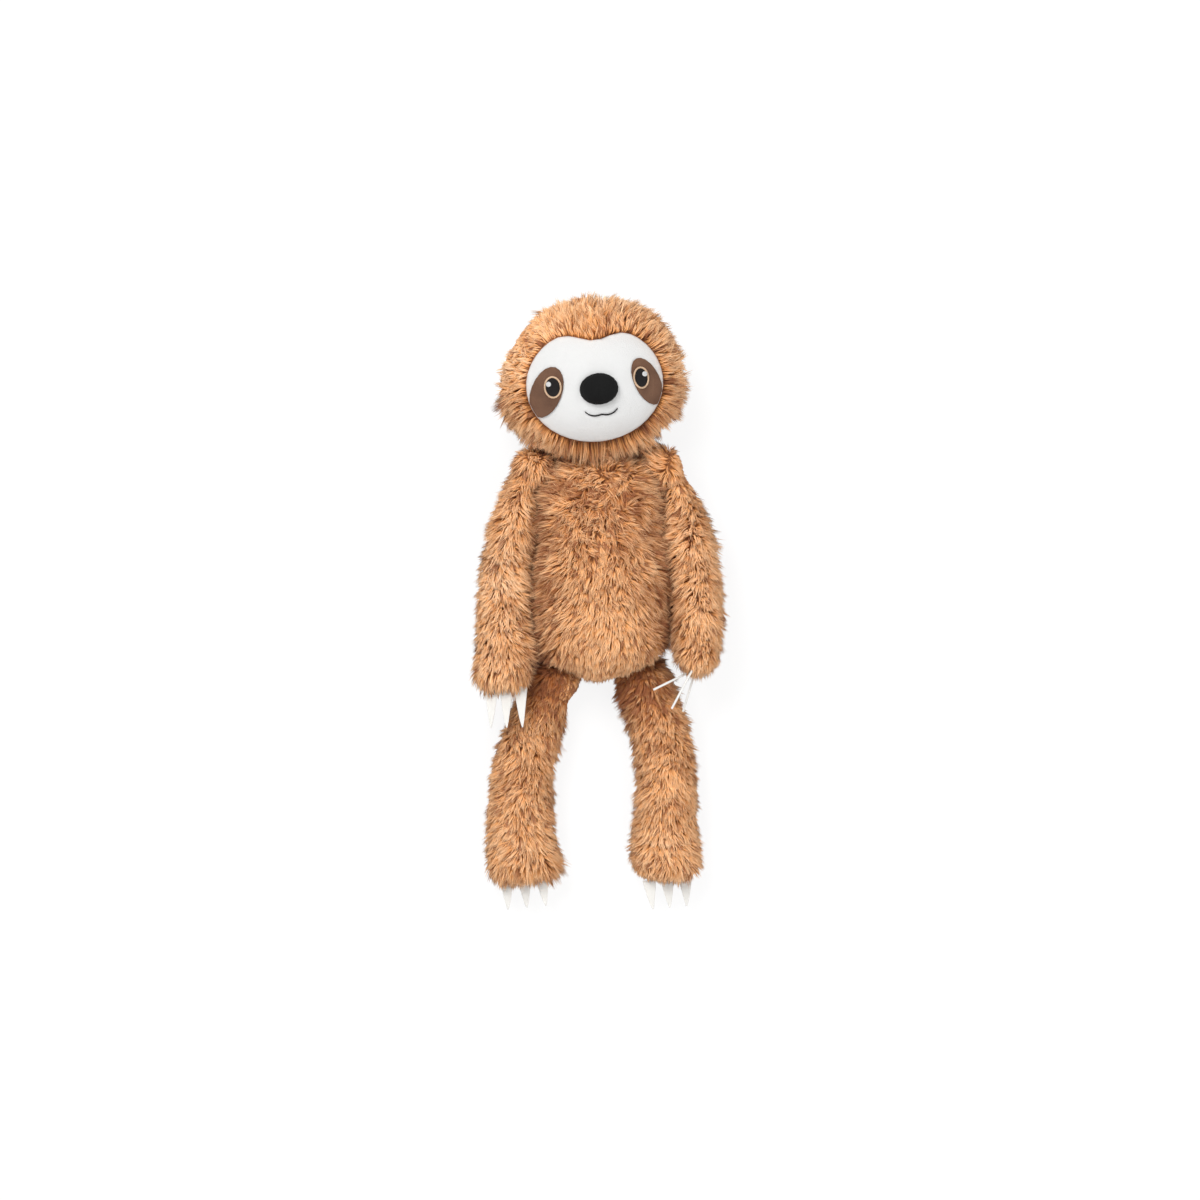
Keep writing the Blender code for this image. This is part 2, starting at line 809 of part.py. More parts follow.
def make_eye(side_name: str, side: int, felt, ring_thread, black, white) -> list:
    """One felt eye patch with the embroidered ring, pupil and catchlight on it."""
    eye = (side * face_half_width * eye_x_shares[side_name], face_half_height * eye_y_share)
    light = (
        eye[0] + side * face_half_width * catchlight_x_share,
        eye[1] + face_half_height * catchlight_y_share,
    )
    outer = (face_half_width * eye_ring_width_shares[side_name], face_half_height * eye_ring_height_share)
    thread_width = face_half_width * eye_ring_thread_share
    inner = (outer[0] - thread_width, outer[1] - thread_width)
    patch_back = face_depth_in_pile - gap
    patch_front = patch_back - felt_thickness
    thread_back = patch_front - gap
    thread_front = thread_back - embroidery_thickness
    light_back = thread_front - gap
    light_front = light_back - embroidery_thickness / 2

    neck = neck_centre()
    patch = on_face("patch", patch_outline(side_name, side), patch_front, patch_back)
    ring = on_face("ring", ellipse(*outer, eye), thread_front, thread_back)
    hole = prism(ellipse(*inner, eye), face_place(), 0, head_half_depth + overrun)
    cut(ring, hole)
    pupil_outline = ellipse(inner[0] - gap, inner[1] - gap, eye)
    pupil = on_face("pupil", pupil_outline, thread_front, thread_back)
    light_radius = face_half_width * catchlight_radius_share
    catchlight_outline = ellipse(light_radius, light_radius, light)
    catchlight = on_face("catchlight", catchlight_outline, light_front, light_back)
    return [
        finish(patch, f"{side_name}_eye_patch", neck, felt),
        finish(ring, f"{side_name}_eye_ring", neck, ring_thread),
        finish(pupil, f"{side_name}_pupil", neck, black),
        finish(catchlight, f"{side_name}_catchlight", neck, white),
    ]


def make_nose(velour) -> bpy.types.Object:
    """The domed nose, sewn on to the middle of the face."""
    bm = bmesh.new()
    surface = head_half_depth - face_depth_in_pile
    half_width, half_height = face_half_width * nose_width_share, face_half_height * nose_height_share
    rise = face_half_height * nose_rise_share
    sized = Matrix.Diagonal((half_width, half_height, rise, 1))
    shape = face_place() @ Matrix.Translation((0, 0, surface)) @ sized
    bmesh.ops.create_uvsphere(bm, u_segments=nose_sides, v_segments=nose_sides // 2, radius=1, matrix=shape)
    nose = cut(to_object("nose", bm), head_form().mesh(face_depth_in_pile - gap))
    return finish(nose, "nose", neck_centre(), velour)


def mouth_outline() -> list:
    """The smile: a thin line with a small cusp in its middle."""
    upper, lower = [], []
    half_line = face_half_width * mouth_line_share / 2
    for i in range(mouth_steps + 1):
        share = 2 * i / mouth_steps - 1
        x = face_half_width * mouth_width_share * share
        cusp = mouth_cusp_share * math.exp(-((share / mouth_cusp_width_share) ** 2))
        sag = mouth_corner_share * mouth_sag_share * (1 - share**2)
        middle = face_half_height * (mouth_y_share + mouth_corner_share * share**4 + cusp - sag)
        upper.append((x, middle + half_line))
        lower.append((x, middle - half_line))
    return lower + upper[::-1]


def make_mouth(black) -> bpy.types.Object:
    """The embroidered mouth line."""
    back = face_depth_in_pile - gap
    mouth = on_face("mouth", mouth_outline(), back - embroidery_thickness, back)
    return finish(mouth, "mouth_line", neck_centre(), black)


def claw_mesh(length: float, bend: float) -> bmesh.types.BMesh:
    """A flat felt claw along -Y from its hinge line, which runs along X, with its tip moved sideways."""
    half = claw_thickness / 2
    rows = []
    for i in range(claw_root_steps, 0, -1):
        turn = math.pi * i / (2 * claw_root_steps + 1)
        rows.append((-half * math.sin(turn), half * math.cos(turn), claw_base_width / 2, 0.0))
    for i in range(claw_steps + 1):
        share = i / claw_steps
        width = claw_tip_width + (claw_base_width - claw_tip_width) * (1 - share) ** claw_taper_share
        rows.append((length * share, half, width / 2, bend * share**2))
    bm = bmesh.new()
    rings = []
    for along, thick, wide, shift in rows:
        corners = ((-wide, -thick), (wide, -thick), (wide, thick), (-wide, thick))
        rings.append([bm.verts.new((shift + x, -along, z)) for x, z in corners])
    for a, b in zip(rings, rings[1:]):
        for i in range(4):
            j = (i + 1) % 4
            bm.faces.new((a[i], a[j], b[j], b[i]))
    bm.faces.new(rings[0])
    bm.faces.new(rings[-1])
    bmesh.ops.recalc_face_normals(bm, faces=bm.faces)
    return bm


@dataclass(frozen=True)
class Claw:
    """One claw's place on its paw: how far along its hinge line and aside, how it points, how its tip bends."""

    name: str
    across: float
    aside: float
    swing: float
    bend: float


def make_claws(limb: Limb, length: float, claws: tuple, upright: bool, felt) -> list:
    """The claws of one paw, side by side, or one above the other on a paw turned on its edge."""
    made = []
    run = limb.paw_run()
    side = Vector((-run.y, run.x, 0))
    up = Vector((0, 0, 1))
    stand_off = claw_thickness / 2 + gap
    for claw in claws:
        hinge = up if upright else side
        place = limb.paw_centre() + run * stand_off + hinge * claw.across + side * claw.aside
        frame = Matrix((hinge, -run, hinge.cross(-run))).transposed().to_4x4()
        turned = Matrix.Rotation(claw.swing, 4, "X")
        bm = claw_mesh(length, claw.bend)
        bmesh.ops.transform(bm, matrix=Matrix.Translation(place) @ frame @ turned, verts=bm.verts)
        bmesh.ops.recalc_face_normals(bm, faces=bm.faces)
        made.append(finish(to_object(claw.name, bm), claw.name, place, felt))
    return made


def claw_row(limb_name: str, spacing: float, shift: float, rise: float, bends: tuple) -> tuple:
    """Three claws side by side: inner, middle and outer seen from the body's middle."""
    side = 1 if limb_name.startswith("left") else -1
    names = ("inner", "middle", "outer")
    return tuple(
        Claw(f"{limb_name}_{name}_claw", side * spacing * (i - 1), shift, -rise, bend)
        for i, (name, bend) in enumerate(zip(names, bends))
    )


def recentre(root: bpy.types.Object, pieces: list) -> None:
    """Move the toy so that its origin is under the middle of its outline, on the table."""
    bpy.context.view_layer.update()
    corners = [piece.matrix_world @ Vector(c) for piece in pieces for c in piece.bound_box]
    low = Vector([min(c[i] for c in corners) for i in range(3)])
    high = Vector([max(c[i] for c in corners) for i in range(3)])
    root.location = -Vector(((low.x + high.x) / 2, (low.y + high.y) / 2, low.z))
    print("moved by", [round(c, 6) for c in root.location], "size", [round(c, 5) for c in high - low])


def main() -> None:
    """Build every piece of the toy."""
    for old in list(bpy.data.objects):
        bpy.data.objects.remove(old)

    fur = cloth("fur")
    face_cloth = cloth("face_fabric")
    felt = cloth("patch_felt")
    ring_thread = cloth("ring_thread")
    black = cloth("black_embroidery")
    white = cloth("white_embroidery")
    velour = cloth("nose_velour")
    claw_felt = cloth("claw_felt")
    stuffing = cloth("stuffing")
    thread = cloth("thread")

    right_arm = arm_limb("right_arm", -1, right_arm_shares, right_arm_length)
    left_arm = arm_limb("left_arm", 1, left_arm_shares, left_arm_length)
    right_leg = leg_limb("right_leg", -1, right_leg_shares)
    left_leg = leg_limb("left_leg", 1, left_leg_shares)
    limbs = [right_arm, left_arm, right_leg, left_leg]

    pieces = make_torso(limbs, fur, stuffing)
    pieces += make_head(fur, face_cloth, stuffing, thread)
    pieces += make_eye("left", 1, felt, ring_thread, black, white)
    pieces += make_eye("right", -1, felt, ring_thread, black, white)
    pieces += [make_nose(velour), make_mouth(black)]
    for limb in limbs:
        pieces += make_limb(limb, fur, stuffing, thread)

    row_bends = (claw_tip_bend, 0.0, -claw_tip_bend)
    hand_row = claw_row("right_hand", hand_claw_spacing, hand_claw_shift, hand_claw_rise, row_bends)
    pieces += make_claws(right_arm, hand_claw_length, hand_row, False, claw_felt)
    edge_claws = (
        Claw("left_hand_upper_claw", edge_claw_spacing, -edge_claw_shift, -upper_claw_turn, 0.0),
        Claw("left_hand_middle_claw", 0.0, -edge_claw_shift, -middle_claw_turn, 0.0),
        Claw("left_hand_lower_claw", -edge_claw_spacing, -lower_claw_shift, -lower_claw_turn, 0.0),
    )
    pieces += make_claws(left_arm, hand_claw_length, edge_claws, True, claw_felt)
    for leg, name in ((right_leg, "right_foot"), (left_leg, "left_foot")):
        foot_row = claw_row(name, foot_claw_spacing, 0.0, 0.0, row_bends)
        pieces += make_claws(leg, foot_claw_length, foot_row, False, claw_felt)

    root = bpy.data.objects.new("toy", None)
    bpy.context.scene.collection.objects.link(root)
    for piece in pieces:
        piece.parent = root
    recentre(root, pieces)
    for piece in pieces:
        triangles = sum(len(face.vertices) - 2 for face in piece.data.polygons)
        print(piece.name, triangles, "origin", [round(c, 5) for c in piece.location + root.location])


main()
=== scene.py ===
"""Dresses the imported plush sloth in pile, face cloth, felt and embroidery, and sets up its studio.

The toy lies on its back. X runs to the viewer's right, Y from the feet to the crown, and Z up out of the
belly. Sizes are in metres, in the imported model's own frame.
"""

import json
import logging
import math
from dataclasses import dataclass, replace
from enum import Enum

import bpy
import numpy as np
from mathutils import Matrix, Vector
from mathutils.bvhtree import BVHTree
from mathutils.kdtree import KDTree

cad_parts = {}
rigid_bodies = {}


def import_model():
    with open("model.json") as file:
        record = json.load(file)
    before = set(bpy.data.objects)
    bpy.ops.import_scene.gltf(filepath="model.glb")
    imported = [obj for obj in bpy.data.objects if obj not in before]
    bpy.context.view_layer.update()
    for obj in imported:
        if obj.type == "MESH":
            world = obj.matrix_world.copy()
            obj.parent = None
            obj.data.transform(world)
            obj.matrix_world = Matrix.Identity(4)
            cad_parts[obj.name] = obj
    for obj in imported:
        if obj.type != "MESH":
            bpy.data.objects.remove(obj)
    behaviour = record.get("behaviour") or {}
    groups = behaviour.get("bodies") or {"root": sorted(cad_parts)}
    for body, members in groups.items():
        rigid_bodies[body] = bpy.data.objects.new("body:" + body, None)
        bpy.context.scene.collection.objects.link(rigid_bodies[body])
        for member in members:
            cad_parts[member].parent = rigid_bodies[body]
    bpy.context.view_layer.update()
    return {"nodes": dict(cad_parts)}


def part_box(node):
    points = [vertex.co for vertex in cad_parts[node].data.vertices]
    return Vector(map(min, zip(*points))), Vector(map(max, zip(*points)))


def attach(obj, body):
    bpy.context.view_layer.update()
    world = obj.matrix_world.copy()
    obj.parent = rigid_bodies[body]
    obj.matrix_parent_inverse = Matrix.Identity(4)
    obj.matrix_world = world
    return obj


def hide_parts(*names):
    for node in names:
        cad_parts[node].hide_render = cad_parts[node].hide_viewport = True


LOG = logging.getLogger("plush_sloth")

Colour = tuple[float, float, float, float]
Triple = tuple[float, float, float]
Span = tuple[float, float]
Piece = bpy.types.Object
Material = bpy.types.Material
Node = bpy.types.Node
Socket = bpy.types.NodeSocket

WHITE: Colour = (1.0, 1.0, 1.0, 1.0)
FULL_SPAN: Span = (0.0, 1.0)
NOISE_SPAN: Span = (0.3, 0.7)
TINY = 1e-9


class Slot(Enum):
    """The names of the record's material slots for the pieces."""

    PILE = "fur"
    FACE = "face_fabric"
    PATCH = "patch_felt"
    RING = "ring_thread"
    BLACK = "black_embroidery"
    WHITE = "white_embroidery"
    NOSE = "nose_velour"
    CLAW = "claw_felt"


class Attribute(Enum):
    """What each strand of the pile carries for its material."""

    ALONG = "PileAlong"
    TONE = "PileTone"
    STREAK = "PileStreak"


class NodeBench:
    """A node tree with short ways to add nodes and to join them."""

    # The Mix node has several sockets of the same name, so those for colours go by number.
    mix_share, mix_first, mix_second, mix_result = 0, 6, 7, 2

    def __init__(self, tree: bpy.types.NodeTree) -> None:
        """Keep the tree that the nodes go into."""
        self.tree = tree

    def join(self, source: Socket, target: Socket) -> None:
        """Lead one socket into another."""
        self.tree.links.new(source, target)

    def add(self, kind: str, settings: dict | None = None, values: dict | None = None) -> Node:
        """Add a node and fill or join its inputs.

        Args:
            kind: The node's type name.
            settings: Properties of the node itself.
            values: Inputs by name or number, each a plain value or a socket to join.

        Returns:
            The new node.
        """
        node = self.tree.nodes.new(kind)
        for name, value in (settings or {}).items():
            setattr(node, name, value)
        for name, value in (values or {}).items():
            if isinstance(value, Socket):
                self.join(value, node.inputs[name])
            else:
                node.inputs[name].default_value = value
        return node

    def math(self, operation: str, *values: float | Socket) -> Socket:
        """A sum, product or other function of one to three values."""
        return self.add("ShaderNodeMath", {"operation": operation}, dict(enumerate(values))).outputs[0]

    def mix(
        self, share: float | Socket, first: Colour | Socket, second: Colour | Socket, blend: str = "MIX"
    ) -> Socket:
        """Two colours mixed: the first alone at a share of 0, and the second laid fully on it at 1."""
        values = {self.mix_share: share, self.mix_first: first, self.mix_second: second}
        node = self.add("ShaderNodeMix", {"data_type": "RGBA", "blend_type": blend}, values)
        return node.outputs[self.mix_result]

    def span(self, value: Socket, reach: Span, results: Span) -> Socket:
        """A value mapped from one range to another, and held there."""
        names = ("Value", "From Min", "From Max", "To Min", "To Max")
        return self.add("ShaderNodeMapRange", None, dict(zip(names, (value, *reach, *results)))).outputs[0]

    def noise(self, place: Socket, scale: float | Socket, detail: float, roughness: float = 0.5) -> Socket:
        """A random value from 0 to 1 that changes from place to place."""
        values = {"Vector": place, "Scale": scale, "Detail": detail, "Roughness": roughness}
        return self.add("ShaderNodeTexNoise", None, values).outputs["Fac"]


class EffectGroup:
    """A shader node group that several finishes share, built on first use."""

    name = "Effect"
    takes: dict[str, str] = {}
    gives: dict[str, str] = {}

    def tree(self) -> bpy.types.NodeTree:
        """The group's node tree, made if it isn't there yet.

        Returns:
            The node tree.
        """
        found = bpy.data.node_groups.get(self.name)
        if found:
            return found
        tree = bpy.data.node_groups.new(self.name, "ShaderNodeTree")
        for direction, sockets in (("INPUT", self.takes), ("OUTPUT", self.gives)):
            for name, kind in sockets.items():
                tree.interface.new_socket(name=name, in_out=direction, socket_type=kind)
        bench = NodeBench(tree)
        self.fill(bench, bench.add("NodeGroupInput").outputs, bench.add("NodeGroupOutput").inputs)
        return tree

    def fill(self, bench: NodeBench, takes: bpy.types.NodeOutputs, gives: bpy.types.NodeInputs) -> None:
        """Add the group's inner nodes, between the sockets that come in and those that go out."""
        raise NotImplementedError

    def place(self, bench: NodeBench, values: dict) -> bpy.types.NodeOutputs:
        """What the group gives in a material, where its inputs take these values."""
        return bench.add("ShaderNodeGroup", {"node_tree": self.tree()}, values).outputs


class NapGroup(EffectGroup):
    """The nap of a cloth or felt: short fibres that stand in every direction, and paler and darker areas."""

    name = "ClothNap"
    takes = {"Vector": "NodeSocketVector", "Fibre Scale": "NodeSocketFloat", "Patch Scale": "NodeSocketFloat"}
    gives = {"Height": "NodeSocketFloat", "Mottle": "NodeSocketFloat"}
    fibre_detail, fibre_roughness, patch_detail = 3.0, 0.6, 4.0

    def fill(self, bench: NodeBench, takes: bpy.types.NodeOutputs, gives: bpy.types.NodeInputs) -> None:
        """Two noises: one as fine as the fibres, one as wide as a brushed area."""
        fibre = bench.noise(takes["Vector"], takes["Fibre Scale"], self.fibre_detail, self.fibre_roughness)
        bench.join(fibre, gives["Height"])
        bench.join(bench.noise(takes["Vector"], takes["Patch Scale"], self.patch_detail), gives["Mottle"])


class SatinStitchGroup(EffectGroup):
    """Embroidery thread laid side by side, round a centre or across a line."""

    name = "SatinStitch"
    takes = {
        "Vector": "NodeSocketVector",
        "Centre": "NodeSocketVector",
        "Threads Round": "NodeSocketFloat",
        "Threads Across": "NodeSocketFloat",
    }
    gives = {"Height": "NodeSocketFloat", "Shade": "NodeSocketFloat"}
    wobble_scale, wobble_detail = 700.0, 1.0
    shade_depth = 0.45

    def fill(self, bench: NodeBench, takes: bpy.types.NodeOutputs, gives: bpy.types.NodeInputs) -> None:
        """Ridges that repeat with the angle about the centre or with the distance along X.

        Args:
            bench: The group's tree.
            takes: The sockets that come into the group.
            gives: The sockets that go out of it.
        """
        from_centre = {0: takes["Vector"], 1: takes["Centre"]}
        moved = bench.add("ShaderNodeVectorMath", {"operation": "SUBTRACT"}, from_centre)
        parts = bench.add("ShaderNodeSeparateXYZ", None, {0: moved.outputs[0]}).outputs
        angle = bench.math("ARCTAN2", parts["Y"], parts["X"])
        round_turns = bench.math("MULTIPLY", angle, takes["Threads Round"])
        across_turns = bench.math("MULTIPLY", parts["X"], takes["Threads Across"])
        wobble = bench.noise(takes["Vector"], self.wobble_scale, self.wobble_detail)
        turns = bench.math("ADD", bench.math("ADD", round_turns, across_turns), wobble)
        ridge = bench.math("ABSOLUTE", bench.math("SINE", turns))
        bench.join(ridge, gives["Height"])
        # The Shade output paints shade in the grooves between the threads.
        bench.join(bench.math("MULTIPLY_ADD", ridge, self.shade_depth, 1 - self.shade_depth), gives["Shade"])


@dataclass(frozen=True)
class Finish:
    """What every finish has: its name, its main colour, how it takes light and how deep its relief is."""

    name: str
    colour: Colour
    roughness: float = 0.9
    sheen: float = 0.2
    specular: float = 0.3
    sheen_roughness: float = 0.5
    rough_change: Span = (0.0, 0.0)
    depth: float = 0.0

    def start(self) -> tuple[Material, NodeBench, Node]:
        """A new material with the plain sockets set.

        Returns:
            The material, its node tree and its shader.
        """
        material = bpy.data.materials.new(self.name)
        material.use_nodes = True
        material.diffuse_color = self.colour
        shader = material.node_tree.nodes["Principled BSDF"]
        plain = {
            "Base Color": self.colour,
            "Roughness": self.roughness,
            "Metallic": 0.0,
            "Sheen Weight": self.sheen,
            "Sheen Roughness": self.sheen_roughness,
            "Specular IOR Level": self.specular,
        }
        for socket, value in plain.items():
            shader.inputs[socket].default_value = value
        return material, NodeBench(material.node_tree), shader

    def coat(self, bench: NodeBench, shader: Node, colour: Socket, height: Socket, reach: Span) -> None:
        """Join the colour, and let the roughness and the surface follow a height.

        Args:
            bench: The material's tree.
            shader: The material's shader.
            colour: The surface's colour.
            height: How far the fibres or threads stand up there.
            reach: The height's lowest and highest value.
        """
        bench.join(colour, shader.inputs["Base Color"])
        lowest, highest = (self.roughness + change for change in self.rough_change)
        bench.join(bench.span(height, reach, (lowest, highest)), shader.inputs["Roughness"])
        if self.depth:
            relief = {"Height": height, "Distance": self.depth, "Strength": 1.0}
            bench.join(bench.add("ShaderNodeBump", None, relief).outputs["Normal"], shader.inputs["Normal"])


@dataclass(frozen=True)
class PileFinish(Finish):
    """Long brushed pile: orange brown, darker at the root, with dark plum-brown fibres here and there, and
    painted light and shade from each strand's tone.
    """

    roughness: float = 0.8
    sheen: float = 0.05
    specular: float = 0.12
    rough_change: Span = (-0.08, 0.05)
    # The root's dark brown is partly the pile's own colour and partly painted shade deep between the strands.
    root: Colour = (0.250, 0.072, 0.015, 1.0)
    middle: Colour = (0.820, 0.375, 0.132, 1.0)
    middle_at: float = 0.40
    tip: Colour = (0.935, 0.600, 0.352, 1.0)
    # Paler colour for tones above 1: painted light.
    pale: Colour = (0.970, 0.700, 0.470, 1.0)
    painted_light_tones: Span = (1.0, 1.5)
    streak: Colour = (0.085, 0.026, 0.014, 1.0)
    streak_tip: Colour = (0.380, 0.130, 0.055, 1.0)
    # Low tones are darkened with this tint: random darker strands, and the lay's painted shade.
    dark_tint: Colour = (0.44, 0.30, 0.22, 1.0)
    fibres_across: Triple = (700.0, 60.0, 1.0)
    fibre_detail: float = 2.0
    fibre_grain: float = 0.14

    def material(self) -> Material:
        """The pile's material, which reads what each strand carries.

        Returns:
            The new material.
        """
        material, bench, shader = self.start()
        along, tone, streak = (
            bench.add("ShaderNodeAttribute", {"attribute_name": kind.value}).outputs["Fac"]
            for kind in (Attribute.ALONG, Attribute.TONE, Attribute.STREAK)
        )
        ramp = bench.add("ShaderNodeValToRGB", None, {"Fac": along})
        stops = ramp.color_ramp.elements
        stops[0].color, stops[1].color = self.root, self.tip
        stops.new(self.middle_at).color = self.middle
        plain = ramp.outputs["Color"]
        # Tones below 1 darken towards the tint, partly painted shade; tones above 1 pale towards the painted
        # light colour.
        toned = bench.mix(tone, bench.mix(1.0, plain, self.dark_tint, "MULTIPLY"), plain)
        toned = bench.mix(bench.span(tone, self.painted_light_tones, FULL_SPAN), toned, self.pale)
        streaked = bench.mix(streak, toned, bench.mix(along, self.streak, self.streak_tip))

        layout = bench.add("ShaderNodeUVMap", {"uv_map": Pile.uv_name})
        drawn_out = {"Vector": layout.outputs[0], "Scale": self.fibres_across}
        place = bench.add("ShaderNodeMapping", None, drawn_out).outputs[0]
        fibres = bench.noise(place, 1.0, self.fibre_detail)
        grain = bench.span(fibres, NOISE_SPAN, (1 - self.fibre_grain, 1 + self.fibre_grain))
        grained = bench.add("ShaderNodeHueSaturation", None, {"Color": streaked, "Value": grain})
        self.coat(bench, shader, grained.outputs[0], fibres, NOISE_SPAN)
        return material


@dataclass(frozen=True)
class NapFinish(Finish):
    """A cloth or felt with a short nap that stands every way."""

    roughness: float = 0.95
    sheen: float = 0.1
    rough_change: Span = (-0.1, 0.05)
    depth: float = 0.0004
    low: Colour = (0.5, 0.5, 0.5, 1.0)
    fibre_scale: float = 900.0
    patch_scale: float = 60.0
    patch_span: Span = (0.35, 0.65)
    fleck: float = 0.5

    def material(self) -> Material:
        """The cloth's material, with its nap in colour, roughness and height.

        Returns:
            The new material.
        """
        material, bench, shader = self.start()
        place = bench.add("ShaderNodeTexCoord").outputs["Object"]
        scales = {"Fibre Scale": self.fibre_scale, "Patch Scale": self.patch_scale}
        nap = NapGroup().place(bench, {"Vector": place, **scales})
        fibre = bench.span(nap["Height"], NOISE_SPAN, FULL_SPAN)
        mottle = bench.span(nap["Mottle"], self.patch_span, FULL_SPAN)
        both = bench.math("MULTIPLY_ADD", fibre, self.fleck, bench.math("MULTIPLY", mottle, 1 - self.fleck))
        self.coat(bench, shader, bench.mix(both, self.low, self.colour), nap["Height"], NOISE_SPAN)
        return material


@dataclass(frozen=True)
class ThreadFinish(Finish):
    """Embroidery or sewing thread, laid round a centre or across a line."""

    roughness: float = 0.6
    sheen: float = 0.0
    rough_change: Span = (0.15, 0.0)
    depth: float = 0.0002
    centre: Triple = (0.0, 0.0, 0.0)
    threads_round: float = 0.0
    threads_across: float = 0.0
    shade: float = 0.45

    def material(self) -> Material:
        """The thread's material, with each stitch as a ridge.

        Returns:
            The new material.
        """
        material, bench, shader = self.start()
        place = bench.add("ShaderNodeTexCoord").outputs["Object"]
        threads = {"Threads Round": self.threads_round, "Threads Across": self.threads_across}
        stitch = SatinStitchGroup().place(bench, {"Vector": place, "Centre": self.centre, **threads})
        # The colour darkens in the grooves between the threads: painted shade.
        dark = tuple(part * self.shade for part in self.colour[:3]) + (1.0,)
        self.coat(bench, shader, bench.mix(stitch["Shade"], dark, self.colour), stitch["Height"], FULL_SPAN)
        return material


@dataclass(frozen=True)
class Fineness:
    """How a piece is rebuilt: the size of its new faces, and how many times they are smoothed."""

    voxel: float
    rounds: int


class Bench:
    """Modelling steps that several pieces share."""

    merge_distance = 1e-5
    smooth_share = 0.5

    @staticmethod
    def pick(piece: Piece) -> None:
        """Select one piece alone and make it active."""
        bpy.ops.object.select_all(action="DESELECT")
        piece.select_set(True)
        bpy.context.view_layer.objects.active = piece

    @staticmethod
    def add(name: str, data: bpy.types.ID) -> bpy.types.Object:
        """Put a mesh, lamp or camera into the scene as a new object."""
        added = bpy.data.objects.new(name, data)
        bpy.context.scene.collection.objects.link(added)
        return added

    @staticmethod
    def rebuild(node: Piece, name: str, fineness: Fineness) -> Piece:
        """A new piece with a node's shape, rebuilt from small even faces, with its edges rounded.

        Args:
            node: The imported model's node, which is a closed solid.
            name: The new piece's name.
            fineness: How finely it is rebuilt.

        Returns:
            The new piece.
        """
        mesh = node.data.copy()
        mesh.name = name
        mesh.materials.clear()
        piece = Bench.add(name, mesh)
        Bench.pick(piece)
        bpy.ops.object.mode_set(mode="EDIT")
        bpy.ops.mesh.select_all(action="SELECT")
        bpy.ops.mesh.remove_doubles(threshold=Bench.merge_distance)
        bpy.ops.object.mode_set(mode="OBJECT")
        piece.data.remesh_voxel_size = fineness.voxel
        bpy.ops.object.voxel_remesh()
        modifier = piece.modifiers.new("Rounded", "SMOOTH")
        modifier.factor, modifier.iterations = Bench.smooth_share, fineness.rounds
        bpy.ops.object.modifier_apply(modifier=modifier.name)
        piece.data.shade_smooth()
        return piece

    @staticmethod
    def points(piece: Piece) -> np.ndarray:
        """The piece's points, one row each."""
        found = np.empty(len(piece.data.vertices) * 3)
        piece.data.vertices.foreach_get("co", found)
        return found.reshape(-1, 3)

    @staticmethod
    def normals(piece: Piece) -> np.ndarray:
        """The outward direction at each of the piece's points."""
        found = np.empty(len(piece.data.vertices) * 3, np.float32)
        piece.data.vertex_normals.foreach_get("vector", found)
        return found.reshape(-1, 3).astype(float)

    @staticmethod
    def solid(piece: Piece) -> BVHTree:
        """The piece's surface, to measure from and to shoot rays at."""
        faces = [tuple(face.vertices) for face in piece.data.polygons]
        return BVHTree.FromPolygons(Bench.points(piece).tolist(), faces)

    @staticmethod
    def move_points(piece: Piece, points: np.ndarray) -> None:
        """Put the piece's points where they are told."""
        piece.data.vertices.foreach_set("co", points.ravel())
        piece.data.update()

    @staticmethod
    def paint(piece: Piece, material: Material) -> None:
        """Give a piece one material."""
        piece.data.materials.clear()
        piece.data.materials.append(material)

    @staticmethod
    def hand_over(piece: Piece, material: Material, slot: Slot, body: str, *nodes: str) -> None:
        """Give a finished piece its material and the body that it rides on.

        Args:
            piece: The finished piece.
            material: Its material.
            slot: The record's slot; not used.
            body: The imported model's body.
            nodes: The nodes that it stands for.
        """
        Bench.paint(piece, material)
        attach(piece, body)
        if nodes:
            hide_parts(*nodes)
        triangles = sum(len(face.vertices) - 2 for face in piece.data.polygons)
        LOG.info("%s: %d triangles on %s", piece.name, triangles, body)


class SmoothField:
    """A random value that changes slowly through space, from about -1 to 1."""

    count = 9
    spread = 0.4

    def __init__(self, wavelength: float, seed: int) -> None:
        """Draw the waves that the field is the sum of.

        Args:
            wavelength: The distance over which the value changes fully.
            seed: Which field it is.
        """
        dice = np.random.default_rng(seed)
        run = dice.normal(size=(self.count, 3))
        run /= np.linalg.norm(run, axis=1, keepdims=True)
        paces = dice.uniform(1 - self.spread, 1 + self.spread, (self.count, 1))
        self.waves = run * (2 * math.pi / wavelength) * paces
        self.phases = dice.uniform(0, 2 * math.pi, self.count)

    def at(self, points: np.ndarray) -> np.ndarray:
        """The value at each point."""
        return np.sin(points @ self.waves.T + self.phases).sum(1) / math.sqrt(self.count)


def unit(vectors: np.ndarray) -> np.ndarray:
    """Each row made one long."""
    return vectors / np.maximum(np.linalg.norm(vectors, axis=1, keepdims=True), TINY)


@dataclass(frozen=True)
class PileTones:
    """How light and dark strands mix. A tone of 1 is the plain colour, less is darker and more is paler; the
    lay's painted light and shade shift the tones.
    """

    usual: float = 0.82
    area_size: float = 0.035
    area_spread: float = 0.10
    tuft_spread: float = 0.10
    clump_spread: float = 0.22
    strand_spread: float = 0.12
    # How far painted light may lift a tone above 1.
    painted_light_reach: float = 0.5
    dark_strand_share: float = 0.095
    dark_area_size: float = 0.02
    dark_area_span: Span = (0.15, 2.2)
    dark_clump_share: float = 0.07
    # More dark clumps where the lay paints shade: painted shade as dark fibres.
    dark_clumps_in_shade: float = 6.0
    darkness: Span = (0.6, 1.0)


